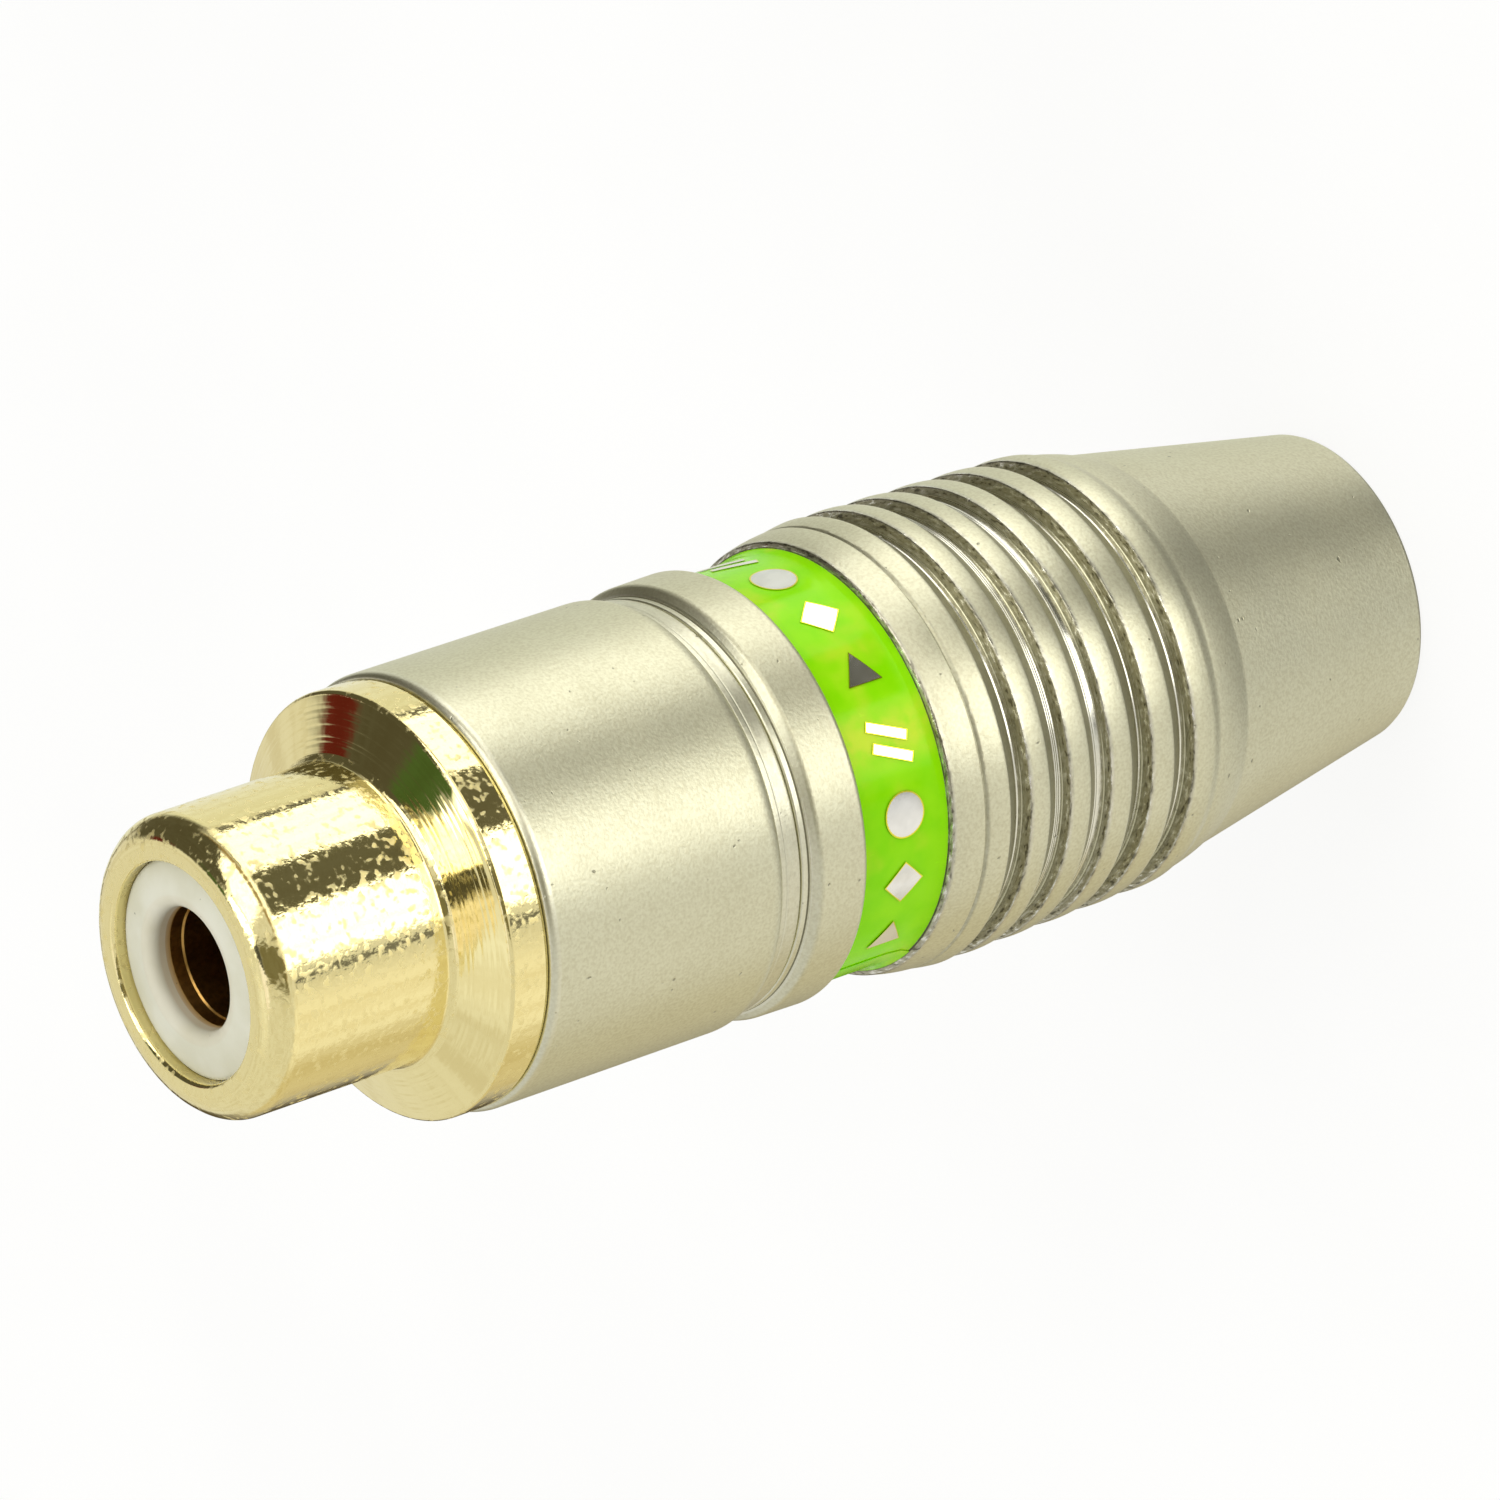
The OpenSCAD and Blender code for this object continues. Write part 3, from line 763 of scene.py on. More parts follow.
@dataclass(frozen=True)
class InkedFoil:
    """Ink on metallised film under a thin clear coat. The sizes of its patterns are millimetres."""

    name: str
    colour: str
    shade: str
    metallic: float
    roughness: float
    wrinkle_h: float
    gloss: float = 0.5
    stain_and_reflection: str = ""
    coat_roughness: float = 0.12
    coat_ior: float = 1.2
    drift: float = 1.1
    stripe: tuple[float, float] = (0.1, 1.1)
    stains: float = 1.7
    patch: float = 0.7
    sheen: float = 0.2
    wrinkle: float = 0.6
    fine_wrinkle: float = 0.07
    outline: str = "#F0E640"

    def build(self) -> bpy.types.Material:
        """Makes the material.

        Returns:
            The material, with a yellow line where the piece has a rim, as ink and foil don't quite meet there.
        """
        material, add = finish_tree(self.name)
        where = add("ShaderNodeTexCoord").outputs["Object"]
        drift = add(Op.NOISE, {"Vector": where, "Scale": 1 / (self.drift * MM), "Detail": 3.0})
        tint = add(Op.MIX, {
            0: add(Op.REMAP, [drift, 0.35, 0.72, 0.0, 1.0]), 6: linear(self.colour), 7: linear(self.shade),
        }).outputs[2]
        if self.stain_and_reflection:
            # a painted yellow reflection in one stripe along the front, on the side facing the camera, and yellow spots
            # a little here and there
            place = add("ShaderNodeSeparateXYZ", [where]).outputs
            inner, outer = (edge * MM for edge in self.stripe)
            front_reflection = add(Op.MULTIPLY, [
                add(Op.REMAP, [add(Op.ABSOLUTE, [place[0]]), inner, outer, 0.8, 0.0]),
                add(Op.LESS_THAN, [place[1], 0.0]),
            ])
            spots = add(Op.NOISE, {"Vector": where, "Scale": 1 / (self.stains * MM)})
            uneven = add(Op.NOISE, {"Vector": where, "Scale": 1 / (self.patch * MM), "Detail": 3.0})
            stain_and_reflection_share = add(Op.MULTIPLY, [
                add(Op.MAXIMUM, [front_reflection, add(Op.REMAP, [spots, 0.52, 0.72, 0.0, 0.6])]),
                add(Op.REMAP, [uneven, 0.3, 0.6, 0.3, 1.0]),
            ])
            tint = add(Op.MIX, {0: stain_and_reflection_share, 6: tint, 7: linear(self.stain_and_reflection)}).outputs[2]
        rim = add("ShaderNodeAttribute", attribute_name="rim").outputs["Fac"]
        tint = add(Op.MIX, {0: add(Op.REMAP, [rim, 0.2, 0.5, 0.0, 1.0]), 6: tint, 7: linear(self.outline)}).outputs[2]
        sheen, wrinkles, fine = (add(Op.NOISE, {"Vector": where, "Scale": 1 / (size * MM)})
                                 for size in (self.sheen, self.wrinkle, self.fine_wrinkle))
        height = add(Op.MULTIPLY, [add(Op.MULTIPLY_ADD, [fine, 0.25, wrinkles]), self.wrinkle_h * MM])
        # the coat is a thin soft lacquer, which shows only where it is seen at a flat angle
        surface(add, height, {
            "Base Color": tint, "Metallic": self.metallic, "Specular IOR Level": self.gloss,
            "Roughness": add(Op.MULTIPLY_ADD, [sheen, 0.1, self.roughness]), "Coat Weight": 1.0,
            "Coat Roughness": self.coat_roughness, "Coat IOR": self.coat_ior,
        })
        return material


# Bright gold over polished brass, pale as a thin hard-gold plate is, with the plate's own fine orange peel
GOLD = PlatedMetal("gold_plate", "#FDEFAF", "#F4E4A0", roughness=0.08, polished=0.05, grain=0.15,
                   grain_h=0.004, line_h=0.0008, speck=0.15, wave_h=0.006, blob_h=0.0028)
# The same plate inside the contact, worn and dull, with shade painted into its darker colour, as little light gets to
# it
CONTACT = PlatedMetal("contact_gold", "#C79D58", "#93703A", roughness=0.3, polished=0.2, grain=0.15,
                      grain_h=0.003, line_h=0.001, speck=0.5)
# Nickel over bead-blasted brass, which scatters the light and keeps a fine sparkle; the tool's cuts stay brighter
NICKEL = PlatedMetal("satin_nickel", "#E6E5C9", "#C3BD9B", roughness=0.42, polished=0.13, grain=0.09,
                     grain_h=0.006, line_h=0.001, speck=0.4, torn_h=0.02, pit=0.26, cut="#ECEBDE")
# Stamped sheet brass with a thin gold flash over its rolling marks, which looks a little dull and streaky
SHEET_BRASS = PlatedMetal("lug_brass", "#E2C67C", "#B8924A", roughness=0.28, polished=0.2, grain=0.2,
                          grain_h=0.003, line_h=0.002, speck=0.4)
# Off-white acetal, which looks soft and slightly grey
IVORY = TurnedPlastic("ivory_plastic", "#D6D6C6", "#CCCBB6", roughness=0.5)
# Milky polyethylene of the liner and the washer, which looks waxy and pale
MILKY = TurnedPlastic("milky_plastic", "#E4E2D8", "#D8D5C8", roughness=0.4)
# Lime ink on silver film, which looks strong and even under its gloss, with a painted yellow reflection along the front
# and a few yellow spots
LIME = InkedFoil("lime_label", "#89E000", "#98E60E", metallic=0.06, roughness=0.2, wrinkle_h=0.004,
                 gloss=0.0, stain_and_reflection="#CFE038")
# Bare silver film where no ink is, which flashes white or goes dark grey with the way it faces
SILVER = InkedFoil("silver_foil", "#F4F4F0", "#DADAD4", metallic=1.0, roughness=0.12, wrinkle_h=0.006)


def ride(piece: bpy.types.Object, body: Body, slot: str, *nodes: str) -> None:
    """Puts a finished piece on its body and reports it.

    Args:
        piece: The piece.
        body: The body that it moves with.
        slot: The record's material slot that it is finished from; not used.
        nodes: The CAD nodes that it stands for.
    """
    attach(piece, body.value)
    if nodes:
        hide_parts(*nodes)
    log.info("%s on %s: %d faces", piece.name, body.value, len(piece.data.polygons))


def dress(frame: dict, node: str, material: bpy.types.Material) -> None:
    """Gives a CAD node that stays its material.

    Args:
        frame: The loaded frame.
        node: The node's name.
        material: Its material.
    """
    data = frame["nodes"][node].data
    data.materials.clear()
    data.materials.append(material)
    log.info("%s dressed in %s", node, material.name)


@dataclass
class RearHousing:
    """Ribbed rear shell with its label and the foil marks on it."""

    burr_h: float = 0.045
    nose_corner_r: float = 0.05
    nose_line: tuple[float, float] = (0.03, 0.06)
    nose_ring_len: float = 0.3
    nose_chamfer_len: float = 0.2
    nose_round_len: float = 0.17
    collar_step: float = 0.26
    band_offset: float = 2.01
    band_w: float = 2.8
    band_depth: float = 0.36
    band_ramp_len: float = 0.12
    band_lift: float = 0.11
    band_lift_len: float = 0.26
    rib_step: float = 0.25
    rib_drop: float = 0.03
    scribe_offset: float = 5.86
    scribe_line: tuple[float, float] = (0.05, 0.13)
    groove_offset: float = 6.64
    groove_w: float = 0.77
    floor_line: tuple[float, float] = (0.008, 0.06)
    groove_depths: tuple[float, ...] = (0.38, 0.34, 0.28, 0.42, 0.38)
    tip_lines: tuple[int, ...] = (1, 3, 2, 1, 1)
    flank_run: float = 1.3
    wall_len: float = 0.07
    groove_pitch: float = 1.39
    groove_pitch_growth: float = 0.035
    ring_crown_h: float = 0.015
    last_ring_w: float = 0.6
    soft_step_len: float = 0.5
    soft_step_h: float = 0.13
    shoulder_len: float = 1.15
    shoulder_drop: float = 0.31
    shoulder_crown_h: float = 0.03
    tail_r: float = 4.4
    tail_edge_r: float = 0.22
    cable_bore_r: float = 3.1
    cavity_r: float = 4.74
    cavity_low: float = 8.405
    cavity_top: float = 17.74
    thread_bore_r: float = 5.0
    edge: float = 0.15
    bore_polish: float = 0.6
    label_t: float = 0.025
    label_tilt: float = 0.07
    label_reach: float = 0.22
    label_seam_deg: float = 188.0
    label_lap_deg: float = 7.0
    label_steps: int = 480
    label_rows: tuple[float, ...] = (0.0, 0.025, 0.05, 0.08, 0.12, 0.3, 0.5, 0.75, 1.0)
    label_start: float = 2.6
    label_climb: float = 1.3
    mark_count: int = 17
    mark_step_deg: float = 20.0
    mark_size: float = 1.3
    mark_bar_w: float = 0.3
    mark_lift: float = 0.008

    def __post_init__(self) -> None:
        """Takes the overall sizes from the frame."""
        high = box_mm("rear_shell")[1]
        label_low, label_high = box_mm("colour_band")
        self.top = high.z
        self.nose_r = high.x - self.rib_step - 0.01
        self.label_r = label_high.x
        self.label_low, self.label_high = label_low.z - self.label_reach, label_high.z
        self.band_low = self.top - self.band_offset - self.band_w

    def groove_top(self, i: int) -> float:
        """Gives the height where groove i starts."""
        return (self.top - self.groove_offset - i * self.groove_pitch
                - self.groove_pitch_growth * i * (i - 1) / 2)

    def section(self) -> Section:
        """Walks round the shell's section, from its front face over the ribs to the tail and back inside.

        Returns:
            The closed section.
        """
        collar_r = self.nose_r - self.collar_step
        rib_r = self.nose_r + self.rib_step
        band_top = self.top - self.band_offset
        band_low = self.band_low
        chamfer_top = self.top - self.nose_ring_len
        corner, fall = self.nose_corner_r, self.nose_round_len
        s = Section()
        s.at(self.thread_bore_r + self.edge, self.top)
        s.run(collar_r - corner, self.top, polish=0.3)
        s.arc(collar_r - corner, self.top - corner, corner, corner, 80, 0, steps=4, polish=0.3)
        s.run(collar_r, chamfer_top + 0.12, polish=0.3)
        # a negative polish paints shade into the fine line
        s.line(*self.nose_line, polish=-0.6)
        s.run(collar_r + 0.06, chamfer_top + 0.03, polish=0.4)
        # a little burr on the chamfer adds bumps and painted brown shade
        s.run(self.nose_r - 0.06, chamfer_top - 0.5 * self.nose_chamfer_len, polish=0.1, burr=0.06)
        s.at(self.nose_r - 0.02, chamfer_top - 0.85 * self.nose_chamfer_len, burr=0.1)
        s.at(self.nose_r, chamfer_top - self.nose_chamfer_len - 0.05, burr=0.1)
        s.run(self.nose_r + 0.02, band_top + fall)
        s.arc(self.nose_r - self.edge + 0.02, band_top + fall, self.edge, fall, 0, -80)
        # the recess, whose end wall was torn by the tool under a bright rim; shade is painted into its corner and,
        # brown, on the torn wall
        recess_r, ramp = self.nose_r - self.band_depth, self.band_ramp_len
        s.run(recess_r, band_top, polish=0.6)
        s.run(recess_r, band_low + self.band_lift_len, polish=0.6)
        s.run(recess_r + 0.8 * self.band_lift, band_low + 0.04, polish=-0.5)
        s.at(recess_r + 0.05, band_low + 0.02, polish=-1.0)
        s.at(recess_r + 0.05, band_low, polish=-1.0)
        s.run(self.nose_r - 0.14, band_low - 0.5 * ramp, step=0.05, burr=0.4, polish=-0.8)
        s.at(self.nose_r - 0.12, band_low - 0.55 * ramp, burr=0.9)
        s.run(self.nose_r - 0.03, band_low - ramp + 0.02, step=0.05, burr=1.0, polish=0.3)
        s.at(self.nose_r - 0.01, band_low - ramp, burr=0.8, polish=0.5)
        s.at(self.nose_r + 0.01, band_low - ramp - 0.04, burr=0.3, polish=0.3)
        s.at(self.nose_r + 0.02, band_low - ramp - 0.1)
        scribe = self.top - self.scribe_offset
        scribe_r = self.nose_r + 0.6 * self.rib_step
        s.swell(scribe_r, scribe, rise=0.02)
        # a negative polish paints shade into the scribed line
        s.line(*self.scribe_line, burr=0.15, polish=-0.2)
        s.swell(rib_r, self.groove_top(0), rise=0.01)
        for i, depth in enumerate(self.groove_depths):
            self.groove(s, i, depth, rib_r)
        ring_low = self.groove_top(len(self.groove_depths) - 1) - self.groove_w - self.last_ring_w
        ring_r = rib_r - len(self.groove_depths) * self.rib_drop
        shoulder = ring_low - self.soft_step_len
        cone_top = shoulder - self.shoulder_len
        cone_r = ring_r - self.soft_step_h - self.shoulder_drop
        s.ease(ring_r - self.soft_step_h, shoulder)
        s.swell(cone_r, cone_top, rise=self.shoulder_crown_h)
        s.run(self.tail_r + 0.02, self.tail_edge_r)
        s.arc(self.tail_r - self.tail_edge_r, self.tail_edge_r, self.tail_edge_r, self.tail_edge_r, 10, -90)
        # inside, from the cable entry over the liner's cavity to the thread
        for radius, height in (
            (self.cable_bore_r + 2 * self.edge, 0.0), (self.cable_bore_r, 2 * self.edge), (self.cable_bore_r, cone_top),
            (self.cavity_r, self.cavity_low), (self.cavity_r, self.cavity_top), (self.thread_bore_r, self.cavity_top),
            (self.thread_bore_r, self.cavity_top + 0.2),
        ):
            s.run(radius, height, polish=self.bore_polish)
        s.run(self.thread_bore_r, self.top - 2 * self.edge, step=0.1, polish=self.bore_polish, thread=-1.0)
        s.run(self.thread_bore_r, self.top - self.edge, polish=self.bore_polish)
        return s

    def groove(self, s: Section, i: int, depth: float, rib_r: float) -> None:
        """Adds groove i and the ring behind it.

        Args:
            s: The section that gets them.
            i: The groove's number, from the front.
            depth: The groove's depth.
            rib_r: The radius in front of the first groove.
        """
        top = self.groove_top(i)
        front_r = rib_r - i * self.rib_drop
        back_r = front_r - self.rib_drop
        floor_r = front_r - depth
        end = top - self.groove_w
        # a negative polish paints shade on the flank, which faces down; burr on the floor and wall adds bumps and
        # painted brown shade
        s.at(front_r - 0.01, top - 0.025, polish=-0.25)
        s.run(floor_r, top - self.flank_run * depth, step=0.1, polish=-0.3)
        for k in range(self.tip_lines[i]):
            # the tool's tip leaves fine bright lines on the groove's floor
            s.line(*self.floor_line, polish=0.8, burr=0.03 * k)
        s.run(floor_r, end + self.wall_len, step=0.05, polish=0.8, burr=0.1)
        # the wall behind the floor has shade painted at its foot and is torn, with painted brown shade, towards its
        # rim, which shines
        s.at(floor_r + 0.04, end + 0.95 * self.wall_len, burr=0.2, polish=-0.55)
        s.run(floor_r + 0.35 * depth, end + 0.6 * self.wall_len, step=0.06, burr=0.45, polish=-0.3)
        s.run(back_r - 0.05, end + 0.02, step=0.05, burr=1.0)
        s.at(back_r - 0.01, end, burr=0.8, polish=0.5)
        s.at(back_r, end - 0.05, burr=0.3, polish=0.3)
        s.at(back_r + 0.01, end - 0.12)
        last = i == len(self.groove_depths) - 1
        s.swell(back_r, end - self.last_ring_w if last else self.groove_top(i + 1), rise=self.ring_crown_h)

    def build_label(self, finish: bpy.types.Material) -> bpy.types.Object:
        """Wraps the label once round the recess, with its end lapped over its start.

        Args:
            finish: The label's material.

        Returns:
            The label, a closed strip.
        """
        steps, places = self.label_steps, self.label_rows
        start = math.radians(self.label_seam_deg)
        whole = math.tau + math.radians(self.label_lap_deg)
        corners = []
        for i in range(steps + 1):
            turn = start + whole * i / steps
            # the wrap climbs by a little more than its own thickness, so that the lap lies on top
            inner = self.label_r - self.label_start * self.label_t + self.label_climb * self.label_t * i / steps
            slip = self.label_tilt * (1 + math.cos(turn)) / 2
            for thick, order in ((0.0, places), (self.label_t, reversed(places))):
                for place in order:
                    up = (self.label_high - self.label_low - slip) * place
                    # its rear edge climbs up against the end of the recess
                    z = self.label_low + slip + up
                    lift = self.band_lift * max(0.0, 1 - (z - self.band_low) / self.band_lift_len)
                    r = inner + thick + lift
                    corners.append((r * math.cos(turn) * MM, r * math.sin(turn) * MM, z * MM))
        ring = 2 * len(places)
        faces = [(i * ring + k, i * ring + (k + 1) % ring, (i + 1) * ring + (k + 1) % ring, (i + 1) * ring + k)
                 for i in range(steps) for k in range(ring)]
        faces += [tuple(range(ring)), tuple(range(steps * ring + ring - 1, steps * ring - 1, -1))]
        mesh = bpy.data.meshes.new("label")
        mesh.from_pydata(corners, [], faces)
        turn_outwards(mesh)
        mesh.shade_smooth()
        mesh.set_sharp_from_angle(angle=math.radians(40))
        mesh.materials.append(finish)
        label = bpy.data.objects.new("label", mesh)
        bpy.context.scene.collection.objects.link(label)
        return label

    def build(self, turning: TurningRecipe, marking: MarksRecipe, finishes: dict[str, bpy.types.Material]) -> None:
        """Makes the shell, the label and its marks, and puts them on the rear housing.

        Args:
            turning: The recipe that turns a section.
            marking: The recipe that sets the marks.
            finishes: The materials, by their names.
        """
        shell = turning.turn("shell", self.section(), finishes["satin_nickel"], burr_h=self.burr_h, seed=4)
        ride(shell, Body.REAR, "satin_nickel", "rear_shell")
        ride(self.build_label(finishes["lime_label"]), Body.REAR, "lime_label", "colour_band")
        blank = bpy.data.objects.new("foil_marks", bpy.data.meshes.new("foil_marks"))
        bpy.context.scene.collection.objects.link(blank)
        marks = marking.bake(blank, {
            "Count": self.mark_count, "First angle": math.radians(self.label_seam_deg + self.mark_step_deg),
            "Step angle": math.radians(self.mark_step_deg), "Radius": (self.label_r - 0.3 * self.label_t) * MM,
            "Middle": (self.label_low + self.label_high) / 2 * MM, "Size": self.mark_size * MM,
            "Bar width": self.mark_bar_w * MM, "Lift": self.mark_lift * MM, "Finish": finishes["silver_foil"],
        }, sharp_deg=40)
        ride(marks, Body.REAR, "lime_label")


@dataclass
class FrontSocket:
    """Gold socket body, nickel sleeve, insulator and the parts inside them."""

    lip_h: float = 0.56
    lip_chamfer_w: float = 0.45
    barrel_r: float = 4.15
    bore_r: float = 3.0
    mouth_round_r: float = 0.14
    lip_round_r: float = 0.72
    flange_t: float = 1.2
    flange_cone_h: float = 0.66
    flange_r: float = 5.86
    root_fillet_r: float = 0.25
    rim_round_r: float = 0.15
    seam_w: float = 0.13
    seam_h: float = 0.09
    ripple: float = 0.0024
    land_r: float = 5.2
    thread_r: float = 4.95
    thread_end: float = 18.14
    spigot_r: float = 4.3
    stem_bore_r: float = 3.5
    step_depth: float = 10.0
    sleeve_r: float = 6.0
    collar_r: float = 5.77
    collar_len: float = 0.72
    front_round_len: float = 0.26
    rear_round_len: float = 0.38
    rear_round_h: float = 0.14
    hole_r: float = 1.66
    hole_draft: float = 0.02
    hole_edge_r: float = 0.32
    seat_r: float = 2.01
    face_swell: float = 0.17
    face_crown_h: float = 0.015
    face_t: float = 0.5
    shoulder_len: float = 3.0
    edge: float = 0.15
    fine: float = 0.04

    def __post_init__(self) -> None:
        """Takes the heights from the frame."""
        body_low, body_high = box_mm("socket_body")
        sleeve_low, sleeve_high = box_mm("front_sleeve")
        insulator_low, insulator_high = box_mm("insulator")
        self.mouth, self.stem_end = body_high.z, body_low.z
        self.collar, self.flange = sleeve_low.z, sleeve_high.z
        self.crest, self.insulator_end = insulator_high.z, insulator_low.z
        self.lip = self.mouth - self.lip_h

    def body_section(self) -> Section:
        """Walks round the socket body's section, from the bore over the lip and flange to the stem.

        Returns:
            The closed section.
        """
        rim = self.flange + self.flange_t
        root = rim + self.flange_cone_h
        cone_turn = math.degrees(math.atan((self.flange_r - self.barrel_r) / self.flange_cone_h))
        crest_r = self.barrel_r - self.lip_chamfer_w
        shelf = self.collar + self.collar_len
        step = self.lip - self.step_depth
        s = Section()
        s.at(self.bore_r, step)
        inner, roll = self.mouth_round_r, self.lip_round_r
        lip_turn = math.degrees(math.atan(self.lip_chamfer_w / self.lip_h))
        front_reach = roll * math.tan(math.radians((90 - lip_turn) / 2))
        side_reach = roll * math.tan(math.radians(lip_turn / 2))
        # a negative polish paints shade down the bore
        s.run(self.bore_r, self.crest - self.face_swell - 0.1, step=2.0, polish=-0.5)
        s.run(self.bore_r, self.mouth - inner, step=0.2, polish=-0.25)
        s.arc(self.bore_r + inner, self.mouth - inner, inner, inner, 180, 90)
        s.run(crest_r - front_reach, self.mouth, step=0.2)
        s.arc(crest_r - front_reach, self.mouth - roll, roll, roll, 90, lip_turn, steps=10)
        s.arc(self.barrel_r - roll, self.lip - side_reach, roll, roll, lip_turn, 0, steps=10)
        fillet_z = root + self.root_fillet_r * math.tan(math.radians(cone_turn / 2))
        s.run(self.barrel_r, fillet_z)
        s.arc(self.barrel_r + self.root_fillet_r, fillet_z, self.root_fillet_r, self.root_fillet_r,
              180, 180 + cone_turn)
        round_z = rim - self.rim_round_r * math.tan(math.radians(cone_turn / 2))
        turn = math.radians(cone_turn)
        s.run(self.flange_r - self.rim_round_r + self.rim_round_r * math.cos(turn),
              round_z + self.rim_round_r * math.sin(turn), step=0.048, ripple=self.ripple, seed=3, polish=1.0)
        s.arc(self.flange_r - self.rim_round_r, round_z, self.rim_round_r, self.rim_round_r, cone_turn, 0)
        # a small groove where the flange meets the sleeve
        s.run(self.flange_r, self.flange + self.seam_w)
        s.at(self.flange_r - 0.02, self.flange + self.seam_w - 0.02)
        s.run(self.flange_r - 0.05, self.flange + 0.03)
        s.at(self.flange_r - self.seam_h, self.flange + 0.01)
        s.run(self.land_r, self.flange + 0.01)
        s.run(self.land_r, shelf + 0.01, step=2.0)
        s.run(self.thread_r, shelf + 0.01)
        s.run(self.thread_r, self.collar - 0.1)
        s.run(self.thread_r, self.thread_end + 0.2, step=0.09, thread=1.0)
        s.run(self.thread_r - self.edge, self.thread_end, thread=0.6)
        s.run(self.spigot_r, self.thread_end)
        s.run(self.spigot_r, self.stem_end + self.edge)
        s.run(self.spigot_r - self.edge, self.stem_end)
        s.run(self.stem_bore_r, self.stem_end)
        s.run(self.stem_bore_r, step, step=2.0)
        return s

    def sleeve_section(self) -> Section:
        """Walks round the sleeve's section, from its front bevel to the collar and back inside.

        Returns:
            The closed section.
        """
        shelf = self.collar + self.collar_len
        inner_r, throat_r = self.land_r + 0.01, self.thread_r + 0.01
        s = Section()
        s.at(inner_r, self.flange)
        s.run(self.flange_r - 0.02, self.flange)
        s.arc(self.flange_r - 0.02, self.flange - self.front_round_len, self.sleeve_r - self.flange_r + 0.02,
              self.front_round_len, 80, 0, polish=0.2)
        s.run(self.sleeve_r, shelf + self.rear_round_len)
        s.arc(self.sleeve_r - self.rear_round_h, shelf + self.rear_round_len, self.rear_round_h,
              self.rear_round_len, 0, -86)
        s.run(self.collar_r - 0.02, shelf - 0.01, polish=0.1)
        s.at(self.collar_r - 0.02, shelf - 0.05, polish=0.2)
        # the collar's burr mark raises nothing, as the sleeve is turned with no burr height; it adds fine torn bumps
        # and a little painted brown shade
        s.at(self.collar_r, shelf - 0.1, polish=0.22, burr=0.12)
        s.run(self.collar_r, shelf - 0.24, step=0.06, ripple=0.0008, seed=5, polish=0.22, burr=0.12)
        s.line(0.008, 0.04, polish=0.3)
        s.run(self.collar_r, self.collar + 0.07, step=0.06, ripple=0.0008, seed=6, polish=0.22, burr=0.12)
        s.arc(self.collar_r - 0.07, self.collar + 0.07, 0.07, 0.07, 0, -80, steps=5, polish=0.3)
        # a step inside the seam keeps its bottom in the light
        s.at(self.collar_r - 0.09, self.collar - 0.03)
        s.run(throat_r, self.collar - 0.03)
        s.run(throat_r, shelf)
        s.run(inner_r, shelf)
        return s

    def insulator_section(self) -> Section:
        """Walks round the insulator's section, from the pin's hole over its face to its shoulder.

        Returns:
            The closed section.
        """
        step = self.lip - self.step_depth
        rim = self.crest - self.face_swell
        contact = rim - self.face_t
        outer_r = self.bore_r - 0.01
        front_r = self.hole_r + self.hole_draft
        edge = self.hole_edge_r
        s = Section()
        # the burr marks down the hole raise nothing on the bush, which is turned with no burr height; they paint brown
        # shade with the gold's reflection in it, darkest at the bottom of the hole
        s.at(self.hole_r, contact + 0.01, burr=1.0)
        s.at(self.hole_r + 0.3 * self.hole_draft, contact + 0.15, burr=0.7)
        s.run(front_r, self.crest - edge, step=0.1, burr=0.35)
        s.arc(front_r + edge, self.crest - edge, edge, edge, 180, 90, burr=0.1)
        last_r = outer_r - self.fine
        for i in range(1, 13):
            across = i / 12
            s.at(front_r + edge + (last_r - front_r - edge) * across,
                 self.crest - self.face_swell * across + 4 * self.face_crown_h * across * (1 - across) - 0.002)
        s.at(outer_r, rim - self.fine)
        s.run(outer_r, step - 0.01, step=2.0)
        s.run(self.stem_bore_r - 0.01, step - 0.01)
        s.run(self.stem_bore_r - 0.01, self.insulator_end)
        s.run(self.seat_r, self.insulator_end)
        s.run(self.seat_r, contact + 0.01, step=2.0)
        return s

    def build(self, frame: dict, turning: TurningRecipe, finishes: dict[str, bpy.types.Material]) -> None:
        """Makes the socket's turned pieces, dresses the rest and puts them on the front body.

        Args:
            frame: The loaded frame.
            turning: The recipe that turns a section.
            finishes: The materials, by their names.
        """
        body = turning.turn("gold_body", self.body_section(), finishes["gold_plate"], seed=2)
        ride(body, Body.FRONT, "gold_plate", "socket_body")
        sleeve = turning.turn("sleeve", self.sleeve_section(), finishes["satin_nickel"], burr_h=0.0, seed=3)
        ride(sleeve, Body.FRONT, "satin_nickel", "front_sleeve")
        bush = turning.turn("bush", self.insulator_section(), finishes["ivory_plastic"], segments=256, burr_h=0.0,
                            seed=5)
        ride(bush, Body.FRONT, "ivory_plastic", "insulator")
        dress(frame, "centre_contact", finishes["contact_gold"])
        dress(frame, "contact_washer", finishes["milky_plastic"])
        dress(frame, "ground_lug", finishes["lug_brass"])


@dataclass(frozen=True)
class Panel:
    """A soft-edged field of the studio round the object, bright or dark, as the polished metal mirrors it."""

    azimuth: tuple[float, float]
    elevation: tuple[float, float]
    side_edge: float
    end_edge: float
    strength: float
    colour: str = "#FFFFFF"


